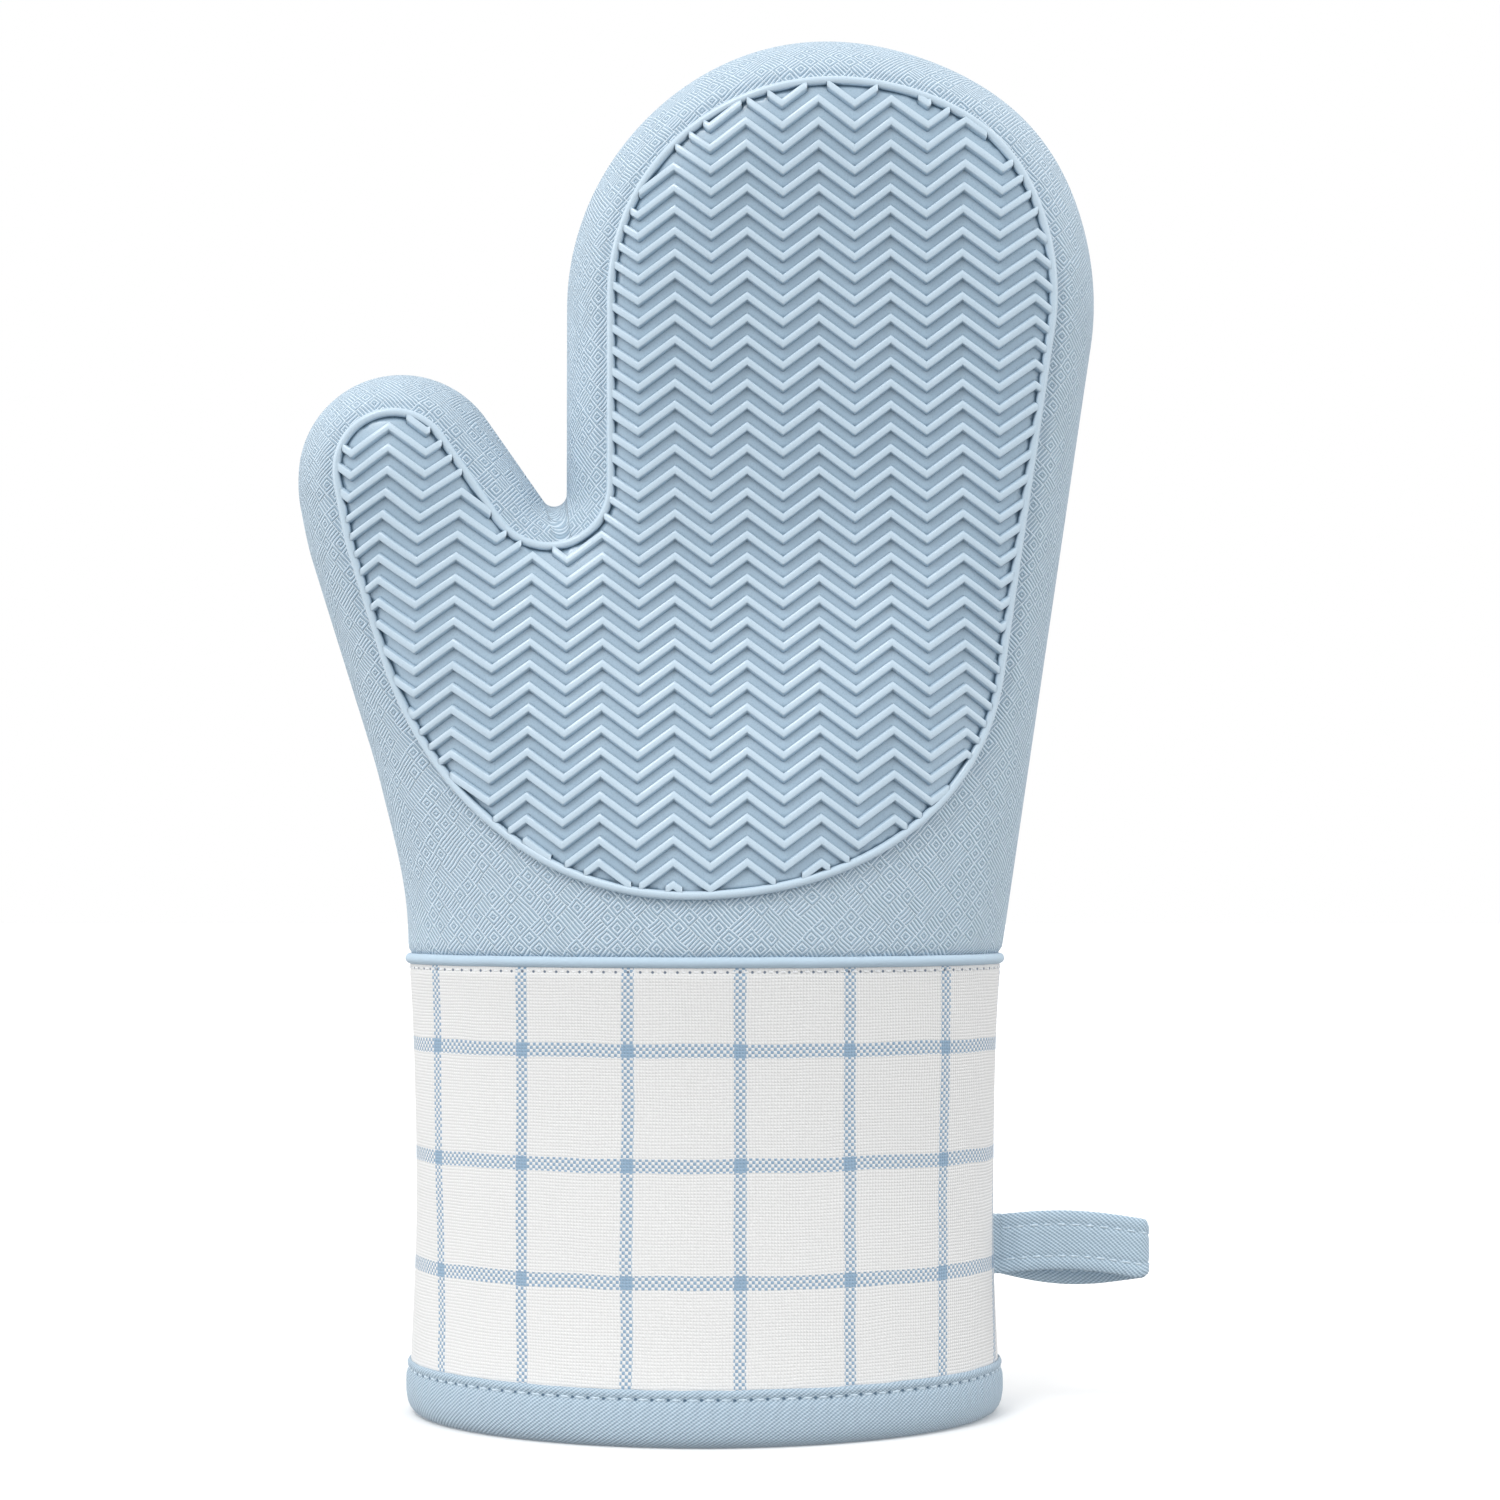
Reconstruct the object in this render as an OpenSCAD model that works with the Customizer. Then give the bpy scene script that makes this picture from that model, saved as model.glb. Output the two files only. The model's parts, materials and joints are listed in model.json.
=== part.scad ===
// Padded oven mitt with silicone grip panels on both sides, standing on its cuff.
// Millimetres, +Z up. The palm side faces -Y and the thumb points to -X.
// The origin is the centre of the cuff's opening, on the plane that the hem stands on.

/* [Hand] */
// Height of the seam between the cuff and the hand
seam_z = 108; // [100:1:112]
// Half of the width at that seam
seam_w = 71.6; // [70:0.2:73]
// Half of the thickness at that seam
seam_d = 41; // [36:1:46]
// Half of the thickness across the fingers and the thumb
hand_d = 23; // [21:0.5:26]
// Width of the rounded border round the fingers and the thumb
edge_r = 24; // [22:0.5:24.5]
// Height at which the hand reaches its finger thickness
flat_z = 212; // [200:1:218]

/* [Fingers] */
// Radius of the round end over the fingers
finger_r = 64; // [60:0.5:66]
// Centre of that round end, sideways
finger_x = 30.4; // [28:0.2:33]
// Centre of that round end, upwards
finger_z = 266; // [262:1:272]
// Radius of the hollow between thumb and fingers
crotch_r = 3; // [2:0.5:4]

/* [Thumb] */
// Radius of the round end of the thumb
thumb_r = 25; // [24.6:0.2:26]
// Centre of that round end, sideways
thumb_x = -73.6; // [-76:0.2:-72]
// Centre of that round end, upwards
thumb_z = 224.7; // [222:0.5:226]
// Lean of the thumb's outer edge from upright
outer_lean = 17.5; // [16.5:0.5:18.5]
// Lean of the thumb's inner edge from upright
inner_lean = 35; // [33:0.5:36]

/* [Layers] */
// Thickness of the outer cloth
cloth_t = 1.2; // [0.8:0.1:1.4]
// Thickness of the padding in the hand
pad_t = 6; // [5:0.5:6.5]
// Thickness of the lining
lining_t = 0.8; // [0.5:0.1:1]
// Thickness of the silicone grip panels
grip_t = 2; // [1.2:0.1:2.4]
// Distance from the mitt's edge to the grip panel
grip_edge = 11; // [10:0.5:13]

/* [Cuff] */
// Half of the cuff's width at its waist
waist_w = 69.4; // [67:0.2:70]
// Height of that waist
waist_z = 60; // [50:1:70]
// Half of the cuff's width at the hem
hem_w = 70.8; // [69:0.2:73]
// Half of the cuff's thickness at the hem
hem_d = 56; // [48:1:60]
// Height of the hem binding
hem_h = 12.8; // [10:0.2:16]
// Thickness of the padding in the cuff
cuff_pad_t = 3; // [2:0.5:4]
// Radius of the piping
piping_r = 1.45; // [1.2:0.05:1.8]

/* [Hanging loop] */
// How far the loop reaches out of the side seam
loop_reach = 37; // [30:1:42]
// Width of the loop's tape
tape_w = 14.6; // [12:0.2:16]
// Thickness of the loop's tape
tape_t = 1.5; // [1.2:0.1:1.8]
// Widest gap between the two runs of the loop
loop_gap = 7.6; // [7:0.2:9]
// Height of the middle of the loop
loop_z = 39.5; // [30:0.5:60]

/* [Folds] */
// Height of the line on which the fingers fold
fold_z = 238; // [234:1:244]
// How far the fingers fold to either side, in degrees
finger_fold = 40; // [10:1:45]
// How far the thumb folds to either side, in degrees
thumb_fold = 35; // [10:1:40]

/* [Hidden] */

// Colours
sky = [0.70, 0.77, 0.83];
silicone_blue = [0.66, 0.75, 0.82];
white_cloth = [0.95, 0.95, 0.95];
cotton = [0.93, 0.92, 0.88];
thread_blue = [0.78, 0.84, 0.89];

// Clear space between layers that lie on each other
ply_gap = 0.2;
// Half of the gap in the padding at the side seam, where the seam thread runs
seam_gap = 0.7;
// The edge's cross-section: 2 is a round edge, and less is more pointed
edge_power = 1.9;
// Number of steps from the edge of the hand to its middle
spoke_steps = 7;
far = 400;

// ---------- outline of the hand, in the plane of the side seam ----------

// Where the hand's layers begin, just above the piping
hand_base = seam_z + piping_r + 0.05;
finger_c = [finger_x, finger_z];
thumb_c = [thumb_x, thumb_z];
finger_left = finger_x - finger_r;

function unit(a) = [cos(a), sin(a)];
function mix(a, b, k) = a + (b - a) * k;

// Right side: a straight line from the base to the round end over the fingers
base_right = [seam_w, hand_base];
right_dir = atan2(finger_c[1] - base_right[1], finger_c[0] - base_right[0])
    - asin(finger_r / norm(finger_c - base_right));
right_normal = unit(right_dir - 90);

// Left side: a hollow arc that leaves the base upright and ends on the thumb's outer edge
side_r = ((seam_w + thumb_x) * cos(outer_lean) + (thumb_z - hand_base) * sin(outer_lean)
    - thumb_r) / (1 - cos(outer_lean));
side_c = [-seam_w - side_r, hand_base];
outer_normal = unit(180 + outer_lean);

// Inner edge of the thumb and the hollow between thumb and fingers
inner_normal = unit(inner_lean);
crotch_x = finger_left - crotch_r;
crotch_z = (inner_normal * thumb_c + thumb_r + crotch_r - inner_normal[0] * crotch_x)
    / inner_normal[1];
crotch_c = [crotch_x, crotch_z];
crotch_low = [crotch_x, crotch_z - crotch_r];

// Stretches of the outline, clockwise from the base's left end.
// An arc is ["arc", centre, radius, first angle, last angle, 1 if it bulges outwards, else -1].
// A line is ["line", first point, last point, outward normal].
side_top = side_c + side_r * unit(outer_lean);
right_top = finger_c + finger_r * right_normal;
right_mid = mix(right_top, base_right, 0.55);
OUTLINE = [
    ["arc", side_c, side_r, 0, outer_lean, -1],
    ["line", side_top, thumb_c + thumb_r * outer_normal, outer_normal],
    ["arc", thumb_c, thumb_r, 180 + outer_lean, inner_lean, 1],
    ["line", thumb_c + thumb_r * inner_normal, crotch_c - crotch_r * inner_normal, inner_normal],
    ["arc", crotch_c, crotch_r, 180 + inner_lean, 360, -1],
    ["line", [finger_left, crotch_z], [finger_left, finger_z], [-1, 0]],
    ["arc", finger_c, finger_r, 180, right_dir - 90, 1],
    ["line", right_top, right_mid, right_normal],
    ["line", right_mid, base_right, right_normal]
];

// Middle lines of the hand: base, where the thumb leaves, thumb end and finger end
base_mid = [0, hand_base];
thumb_leaves = [-26, 176];
SPINE = [
    [base_mid, thumb_leaves, 4], [thumb_leaves, thumb_c, 4], [thumb_c, thumb_c, 11],
    [thumb_c, thumb_leaves, 4], [thumb_leaves, thumb_leaves, 9], [thumb_leaves, finger_c, 4],
    [finger_c, finger_c, 13], [finger_c, thumb_leaves, 4], [thumb_leaves, base_mid, 4]
];

// A station is [point on the edge, outward normal, point on the middle line]
function station(part, spine, k) =
    let(angle = part[0] == "arc" ? mix(part[3], part[4], k) : 0)
    part[0] == "arc"
        ? [part[1] + part[2] * unit(angle), part[5] * unit(angle), mix(spine[0], spine[1], k)]
        : [mix(part[1], part[2], k), part[3], mix(spine[0], spine[1], k)];

STATIONS = [
    for (i = [0:len(OUTLINE) - 1])
        let(last = i == len(OUTLINE) - 1, steps = SPINE[i][2])
        for (j = [0:steps - (last ? 0 : 1)])
            station(OUTLINE[i], SPINE[i], j / steps)
];

// Distance from a point to one stretch of the outline, after the outline moves in by inset
function stretch_gap(part, inset, p) =
    part[0] == "arc"
        ? let(v = p - part[1], middle = unit((part[3] + part[4]) / 2),
              half_span = abs(part[4] - part[3]) / 2)
          v * middle >= cos(half_span) * norm(v) - 0.001
              ? abs(norm(v) - (part[2] - part[5] * inset))
              : far
        : let(a = part[1] - part[3] * inset, run = part[2] - part[1],
              k = max(0, min(1, (p - a) * run / (run * run))))
          norm(p - a - run * k);

function edge_gap(inset, p) = min([for (part = OUTLINE) stretch_gap(part, inset, p)]);

// ---------- thickness of the hand ----------

function ease(k) = k * k * (3 - 2 * k);
function flatness(z) = ease(max(0, min(1, (z - hand_base) / (flat_z - hand_base))));
function rounded(k) = let(u = max(0, min(1, k))) pow(1 - pow(1 - u, edge_power), 1 / edge_power);

// Half of the hand's thickness at a point, for the surface that lies inset below the outside
function half_depth(inset, p) =
    let(k = flatness(p[1]))
    (mix(seam_d, hand_d, k) - inset)
        * rounded(edge_gap(inset, p) / (mix(seam_w, edge_r, k) - inset));

function spoke_point(s, inset, k) =
    let(edge = s[0] - s[1] * inset,
        p = mix(edge, s[2], 1 - cos(90 * k / spoke_steps)))
    [p[0], k == 0 ? 0 : -half_depth(inset, p), p[1]];

function hand_surface(inset) =
    [for (s = STATIONS) [for (k = [0:spoke_steps]) spoke_point(s, inset, k)]];

// ---------- solids from grids of points ----------

function flat_list(rows) = [for (row = rows) for (p = row) p];
function two_triangles(a, b, c, d) = [[a, b, c], [a, c, d]];

// A sheet between an outer and an inner grid. The rows of the outer grid run clockwise
// as seen from outside. A folded sheet meets itself along its last column.
module sheet(outer, inner, folded = false) {
    rows = len(outer) - 1;
    cols = len(outer[0]) - 1;
    under = (rows + 1) * (cols + 1);
    points = concat(flat_list(outer), flat_list(inner));
    function at(i, k) = i * (cols + 1) + k;
    quads = concat(
        [for (i = [0:rows - 1]) for (k = [0:cols - 1])
            each two_triangles(at(i, k), at(i + 1, k), at(i + 1, k + 1), at(i, k + 1))],
        [for (i = [0:rows - 1]) for (k = [0:cols - 1])
            each two_triangles(under + at(i, k), under + at(i, k + 1),
                under + at(i + 1, k + 1), under + at(i + 1, k))],
        [for (i = [0:rows - 1])
            each two_triangles(at(i, 0), under + at(i, 0), under + at(i + 1, 0), at(i + 1, 0))],
        [for (i = [0:rows - 1]) if (!folded)
            each two_triangles(at(i + 1, cols), under + at(i + 1, cols),
                under + at(i, cols), at(i, cols))],
        [for (k = [0:cols - 1])
            each two_triangles(at(0, k), at(0, k + 1), under + at(0, k + 1), under + at(0, k))],
        [for (k = [0:cols - 1])
            each two_triangles(at(rows, k + 1), at(rows, k),
                under + at(rows, k), under + at(rows, k + 1))]
    );
    faces = [for (f = quads)
        if (points[f[0]] != points[f[1]] && points[f[1]] != points[f[2]]
            && points[f[2]] != points[f[0]]) f];
    polyhedron(points = points, faces = faces, convexity = 8);
}

// A ring swept round a closed path: each row is one closed cross-section
module closed_sweep(rows) {
    n = len(rows);
    m = len(rows[0]);
    faces = [for (i = [0:n - 1]) for (k = [0:m - 1])
        each two_triangles(i * m + k, i * m + (k + 1) % m,
            ((i + 1) % n) * m + (k + 1) % m, ((i + 1) % n) * m + k)];
    polyhedron(points = flat_list(rows), faces = faces, convexity = 8);
}

// A rod swept along an open path, with a fan of triangles on each end
module open_sweep(rows) {
    n = len(rows);
    m = len(rows[0]);
    faces = concat(
        [for (i = [0:n - 2]) for (k = [0:m - 1])
            each two_triangles(i * m + k, i * m + (k + 1) % m,
                (i + 1) * m + (k + 1) % m, (i + 1) * m + k)],
        [for (k = [1:m - 2]) [0, k + 1, k]],
        [for (k = [1:m - 2]) [(n - 1) * m, (n - 1) * m + k, (n - 1) * m + k + 1]]
    );
    polyhedron(points = flat_list(rows), faces = faces, convexity = 8);
}

// One half of a layer of the hand, on the palm side
module half_layer(outer_inset, inner_inset) {
    sheet(hand_surface(outer_inset), hand_surface(inner_inset), folded = true);
}

module on_back() {
    mirror([0, 1, 0]) children();
}

// ---------- hand: cloth, grips, lining ----------

// Clear space on both sides of the padding
pad_gap = 1.3;
pad_outer = cloth_t + pad_gap;
pad_inner = pad_outer + pad_t;
lining_outer = pad_inner + pad_gap + ply_gap;

module cloth_half() {
    half_layer(0, cloth_t);
}

module palm_side_shell() {
    color(sky) cloth_half();
}

module back_side_shell() {
    color(sky) on_back() cloth_half();
}

function bezier(a, b, c, d, k) =
    mix(mix(mix(a, b, k), mix(b, c, k), k), mix(mix(b, c, k), mix(c, d, k), k), k);

// Point on the grip panel's left or right edge at a given height
function on_right(z) =
    base_right - right_normal * grip_edge
        + unit(right_dir) * ((z - hand_base + right_normal[1] * grip_edge) / sin(right_dir));
function on_left(z) =
    let(a = side_top - outer_normal * grip_edge)
    a + unit(90 + outer_lean) * ((z - a[1]) / cos(outer_lean));

// The panel follows the mitt's edge above these heights and hangs in a round below them
grip_turn_right = 176;
grip_turn_left = 182;
grip_low = [-3, 122.6];
grip_turn_steps = 10;

function grip_arc(c, r, a0, a1, steps) =
    [for (i = [0:steps]) c + r * unit(mix(a0, a1, i / steps))];
GRIP_OUTLINE = concat(
    grip_arc(thumb_c, thumb_r - grip_edge, 180 + outer_lean, inner_lean, 11),
    grip_arc(crotch_c, crotch_r + grip_edge, 180 + inner_lean, 360, 11),
    grip_arc(finger_c, finger_r - grip_edge, 180, right_dir - 90, 20),
    [for (i = [0:grip_turn_steps])
        bezier(on_right(grip_turn_right), on_right(grip_turn_right - 32),
            grip_low + [39, 0], grip_low, i / grip_turn_steps)],
    [for (i = [1:grip_turn_steps])
        bezier(grip_low, grip_low - [36, 0],
            on_left(grip_turn_left - 34), on_left(grip_turn_left), i / grip_turn_steps)]
);

// The silicone skin lies on the cloth; its ribs and bead fill this thickness
module grip_half() {
    intersection() {
        half_layer(-ply_gap / 2 - grip_t, -ply_gap / 2);
        rotate([90, 0, 0])
            linear_extrude(height = 2 * seam_d)
                polygon(GRIP_OUTLINE);
    }
}

module palm_grip_panel() {
    color(silicone_blue) grip_half();
}

module back_grip_panel() {
    color(silicone_blue) on_back() grip_half();
}

module lining_half() {
    half_layer(lining_outer, lining_outer + lining_t);
}

module palm_side_lining() {
    color(cotton) lining_half();
}

module back_side_lining() {
    color(cotton) on_back() lining_half();
}

// ---------- hand: padding in three zones ----------

// The folds leave a wedge in the padding, so that the zones never press into each other
fold_clear = 3;
zone_gap = 0.45;
zone_cols = 5;
palm_cols = 14;

// Stations along one stretch of the outline, between two fractions of its length
function stretch(part, k0, k1, steps) =
    [for (j = [0:steps]) station(part, [thumb_c, thumb_c], mix(k0, k1, j / steps))];
function drop_last(list) = [for (j = [0:len(list) - 2]) list[j]];

// The thumb folds on the line from the hollow beside the fingers to this place on the side arc
thumb_fold_k = 0.75;
crotch_k = (90 - inner_lean) / (180 - inner_lean);
THUMB_EDGE = concat(
    drop_last(stretch(OUTLINE[0], thumb_fold_k, 1, 2)), drop_last(stretch(OUTLINE[1], 0, 1, 4)),
    drop_last(stretch(OUTLINE[2], 0, 1, 11)), drop_last(stretch(OUTLINE[3], 0, 1, 3)),
    stretch(OUTLINE[4], 0, crotch_k, 4)
);

// The fingers fold on a level line
left_fold_k = (fold_z - crotch_z) / (finger_z - crotch_z);
right_fold_k = (right_top[1] - fold_z) / (right_top[1] - right_mid[1]);
FINGER_EDGE = concat(
    drop_last(stretch(OUTLINE[5], left_fold_k, 1, 2)), drop_last(stretch(OUTLINE[6], 0, 1, 13)),
    stretch(OUTLINE[7], 0, right_fold_k, 2)
);

function inset_edge(s, inset) = s[0] - s[1] * inset;
function zone_depth(p, inset) = max(seam_gap, half_depth(inset, p));
function zone_point(p, inset) = [p[0], -zone_depth(p, inset), p[1]];

// Move a point of a fold line back from the fold, further where the hand is thicker
function leaned(p, inset, away, fold) =
    p + away * (zone_gap + tan(fold / 2 + fold_clear) * zone_depth(p, inset));

// Grid from an edge to the straight fold line between the edge's two ends
function tip_zone(edge, inset, fold) =
    let(n = len(edge) - 1, a = inset_edge(edge[0], inset), b = inset_edge(edge[n], inset),
        along = (b - a) / norm(b - a), away = [-along[1], along[0]])
    [for (i = [0:n])
        let(f = leaned(mix(a, b, i / n), inset, away, fold),
            e = i == 0 || i == n ? f : inset_edge(edge[i], inset))
        [for (k = [0:zone_cols]) zone_point(mix(e, f, 1 - cos(90 * k / zone_cols)), inset)]];

// Left edge of the palm: the side, the thumb's fold line, then the hollow beside the fingers
function palm_left(inset) =
    let(a = inset_edge(THUMB_EDGE[0], inset),
        b = inset_edge(THUMB_EDGE[len(THUMB_EDGE) - 1], inset),
        along = (b - a) / norm(b - a), away = [along[1], -along[0]], steps = 7)
    concat(
        [for (s = drop_last(stretch(OUTLINE[0], 0, thumb_fold_k, 4))) inset_edge(s, inset)],
        [for (i = [0:steps]) leaned(mix(a, b, i / steps), inset, away, thumb_fold)],
        [for (s = stretch(OUTLINE[4], mix(crotch_k, 1, 0.2), 1, 4)) inset_edge(s, inset)],
        [inset_edge(station(OUTLINE[5], [thumb_c, thumb_c], left_fold_k), inset)]
    );

function palm_zone(inset) =
    let(left = palm_left(inset), n = len(left) - 1,
        right_low = inset_edge([base_right, right_normal], inset),
        right_high = inset_edge([mix(right_top, right_mid, right_fold_k), right_normal], inset))
    [for (i = [0:n])
        let(right = mix(right_low, right_high, i / n))
        [for (k = [0:palm_cols])
            let(p = mix(left[i], right, (1 - cos(180 * k / palm_cols)) / 2))
            zone_point(i == n ? leaned(p, inset, [0, -1], finger_fold) : p, inset)]];

module finger_padding_half() {
    sheet(tip_zone(FINGER_EDGE, pad_outer, finger_fold),
        tip_zone(FINGER_EDGE, pad_inner, finger_fold));
}

module thumb_padding_half() {
    sheet(tip_zone(THUMB_EDGE, pad_outer, thumb_fold),
        tip_zone(THUMB_EDGE, pad_inner, thumb_fold));
}

module palm_padding_half() {
    sheet(palm_zone(pad_outer), palm_zone(pad_inner));
}

module palm_padding_front() {
    color(white_cloth) palm_padding_half();
}

module palm_padding_back() {
    color(white_cloth) on_back() palm_padding_half();
}

module finger_padding_front() {
    color(white_cloth) finger_padding_half();
}

module finger_padding_back() {
    color(white_cloth) on_back() finger_padding_half();
}

module thumb_padding_front() {
    color(white_cloth) thumb_padding_half();
}

module thumb_padding_back() {
    color(white_cloth) on_back() thumb_padding_half();
}

// Thread of the seam that closes the hand's two halves
thread_r = 0.45;
seam_inset = 5;
thread_sides = 6;

module hand_seam_thread() {
    color(thread_blue)
        open_sweep([for (s = STATIONS)
            let(p = s[0] - s[1] * seam_inset)
            [for (k = [0:thread_sides - 1])
                let(v = thread_r * unit(360 * k / thread_sides))
                [p[0] + s[1][0] * v[0], v[1], p[1] + s[1][1] * v[0]]]]);
}

// ---------- cuff ----------

ring_steps = 56;
cuff_rows = 6;
cuff_top = seam_z - piping_r - 0.05;
cuff_bottom = 1.8;
hem_t = 1;
// Clear space between the cuff's layers and the tape folded round them
hem_gap = 0.3;

function cuff_w(z) =
    z > waist_z
        ? mix(waist_w, seam_w, pow((z - waist_z) / (seam_z - waist_z), 2))
        : mix(waist_w, hem_w, pow((waist_z - z) / waist_z, 2));
function cuff_d(z) = mix(seam_d, hem_d, pow((seam_z - z) / seam_z, 2));
function signed_pow(v) = sign(v) * pow(abs(v), 2 / edge_power);

// A point of the cuff: angle round it, height, and inset below the outside
function cuff_point(angle, z, inset) = [
    (cuff_w(z) - inset) * signed_pow(cos(angle)),
    (cuff_d(z) - inset) * signed_pow(sin(angle)),
    z
];

// Half of a cuff layer, on the palm side. side_gap is the angle left open at each side seam.
module cuff_half(outer_inset, inner_inset, side_gap = 0) {
    half = ring_steps / 2;
    function grid(inset) =
        [for (i = [0:half])
            [for (k = [0:cuff_rows])
                cuff_point(mix(180 + side_gap, 360 - side_gap, i / half),
                    mix(cuff_top, cuff_bottom, k / cuff_rows), inset)]];
    sheet(grid(outer_inset), grid(inner_inset));
}

cuff_cloth_t = 0.9;
cuff_pad_outer = cuff_cloth_t + ply_gap;
cuff_lining_outer = cuff_pad_outer + cuff_pad_t + ply_gap;
cuff_inner = cuff_lining_outer + lining_t;
// Angle round the cuff that its inner layers leave free for the side seams
seam_angle = 2.2;

module cuff_cloth_front() {
    color(white_cloth) cuff_half(0, cuff_cloth_t);
}

module cuff_cloth_back() {
    color(white_cloth) on_back() cuff_half(0, cuff_cloth_t);
}

module cuff_padding_front() {
    color(white_cloth) cuff_half(cuff_pad_outer, cuff_pad_outer + cuff_pad_t, seam_angle);
}

module cuff_padding_back() {
    color(white_cloth)
        on_back() cuff_half(cuff_pad_outer, cuff_pad_outer + cuff_pad_t, seam_angle);
}

module cuff_lining_front() {
    color(cotton) cuff_half(cuff_lining_outer, cuff_inner, seam_angle);
}

module cuff_lining_back() {
    color(cotton) on_back() cuff_half(cuff_lining_outer, cuff_inner, seam_angle);
}

// A cross-section of [inset, height] points, swept right round the cuff
module cuff_ring(section) {
    closed_sweep([for (i = [0:ring_steps - 1])
        [for (p = section) cuff_point(360 * i / ring_steps, p[1], p[0])]]);
}

// Bias tape folded over the cuff's lower edge
module hem_binding() {
    outside = -hem_gap - hem_t;
    inside = cuff_inner + hem_gap + hem_t;
    bevel = 0.5;
    inner_h = hem_h - 1.5;
    color(sky) cuff_ring([
        [outside + bevel, 0], [outside, bevel], [outside, hem_h - bevel],
        [outside + bevel, hem_h], [-hem_gap, hem_h], [-hem_gap, hem_t + 0.4],
        [cuff_inner + hem_gap, hem_t + 0.4], [cuff_inner + hem_gap, inner_h],
        [inside - bevel, inner_h], [inside, inner_h - bevel], [inside, bevel],
        [inside - bevel, 0]
    ]);
}

// Piping: a cord in a strip of cloth whose two edges run into the seam
piping_cover_t = 0.45;
piping_inset = piping_r - 0.75;
flange = 6;
piping_arc = 5;

module piping_cover() {
    half_flange = 0.55;
    inner_r = piping_r - piping_cover_t;
    // Angle from the flange round the cord to the other side of the flange
    function round_cord(r, half_gap) =
        let(a = asin(half_gap / r))
        [for (i = [0:piping_arc])
            [piping_inset, seam_z] + r * unit(-mix(a, 360 - a, i / piping_arc))];
    ply = 0.1;
    color(sky) cuff_ring(concat(
        [[piping_inset + flange, seam_z - half_flange]],
        round_cord(piping_r, half_flange),
        [[piping_inset + flange, seam_z + half_flange],
         [piping_inset + flange, seam_z + ply]],
        [for (i = [piping_arc:-1:0]) round_cord(inner_r, ply)[i]],
        [[piping_inset + flange, seam_z - ply]]
    ));
}

module piping_cord() {
    cord_r = piping_r - piping_cover_t - 0.2;
    cord_sides = 8;
    color(cotton) cuff_ring([for (i = [0:cord_sides - 1])
        [piping_inset, seam_z] + cord_r * unit(-360 * i / cord_sides)]);
}

// ---------- stitching ----------

stitch_t = 0.55;

module stitch(length) {
    cube([length, stitch_t, stitch_t], center = true);
}

// Table of [length along the ring, angle] at one height, from which angle 0 starts
function ring_table(z) =
    [for (a = 0, run = 0; a <= 360;
          run = run + norm(cuff_point(a + 2, z, 0) - cuff_point(a, z, 0)), a = a + 2) [run, a]];

// Stitches of one length and pitch, all round the cuff at one height
module stitch_ring(z, proud, length, pitch) {
    table = ring_table(z);
    total = table[len(table) - 1][0];
    count = floor(total / pitch);
    for (i = [0:count - 1]) {
        angle = lookup(i * total / count, table);
        tip = cuff_point(angle + 1, z, -proud);
        tail = cuff_point(angle - 1, z, -proud);
        translate((tip + tail) / 2)
            rotate([0, 0, atan2(tip[1] - tail[1], tip[0] - tail[0])])
                stitch(length);
    }
}

module cuff_topstitching() {
    color(thread_blue) stitch_ring(seam_z - 3.6, 0, 1.8, 2.7);
}

module hem_stitching() {
    color(thread_blue) stitch_ring(hem_h - 2.1, hem_gap + hem_t, 2.9, 3.7);
}

// Lock stitches down both side seams of the cuff, inside the cloth
module cuff_side_threads() {
    pitch = 6;
    thread_inset = cuff_cloth_t + 0.9;
    color(thread_blue)
        for (side = [-1, 1])
            for (z = [hem_h : pitch : cuff_top - pitch])
                if (abs(z + pitch / 2 - loop_z) > tape_w / 2 + pitch / 2)
                    translate([side * (cuff_w(z) - thread_inset), 0, z + pitch / 2])
                        cylinder(h = pitch - 1.5, r = 0.35, center = true, $fn = 16);
}

// ---------- hanging loop ----------

// The loop starts just outside the side seam
loop_x = cuff_w(loop_z) + 1.6;
loop_steps = 24;

// Middle of the tape, from the seam round the loop's far end and back: a long drop shape
function loop_path(k) =
    let(a = 180 * k)
    [loop_x + loop_reach * pow(sin(a), 0.62),
     -(loop_gap / 2 + tape_t / 2) * pow(sin(a), 0.55) * cos(a) * 1.25 - tape_t * 0.6 * cos(a)];
function loop_side(k, offset) =
    let(step = 0.004, a = loop_path(max(0, k - step)), b = loop_path(min(1, k + step)),
        run = (b - a) / norm(b - a))
    loop_path(k) + offset * [-run[1], run[0]];

module hang_loop() {
    outside = [for (i = [0:loop_steps]) loop_side(i / loop_steps, -tape_t / 2)];
    inside = [for (i = [loop_steps:-1:0]) loop_side(i / loop_steps, tape_t / 2)];
    color(sky)
        translate([0, 0, loop_z - tape_w / 2])
            linear_extrude(height = tape_w)
                polygon(concat(outside, inside));
}

// Table of [length along the tape, fraction of the loop]
LOOP_TABLE = [
    for (k = 0, run = 0; k <= 1; run = run + norm(loop_path(k + 0.01) - loop_path(k)), k = k + 0.01)
        [run, k]
];

// Two rows of stitches along the tape, on the outside of the loop
module loop_stitching() {
    row_z = 3.75;
    pitch = 3.2;
    length = LOOP_TABLE[len(LOOP_TABLE) - 1][0];
    color(thread_blue)
        for (row = [-1, 1])
            for (run = [pitch : pitch : length - pitch]) {
                a = loop_side(lookup(run - 1, LOOP_TABLE), -tape_t / 2);
                b = loop_side(lookup(run + 1, LOOP_TABLE), -tape_t / 2);
                translate([(a[0] + b[0]) / 2, (a[1] + b[1]) / 2, loop_z + row * row_z])
                    rotate([0, 0, atan2(b[1] - a[1], b[0] - a[0])])
                        stitch(2.4);
            }
}

// Ends of the loop's tape, held in the side seam between the cuff's two halves
ends_length = 9;
ends_x = cuff_w(loop_z) - cuff_cloth_t - 0.3;

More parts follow.
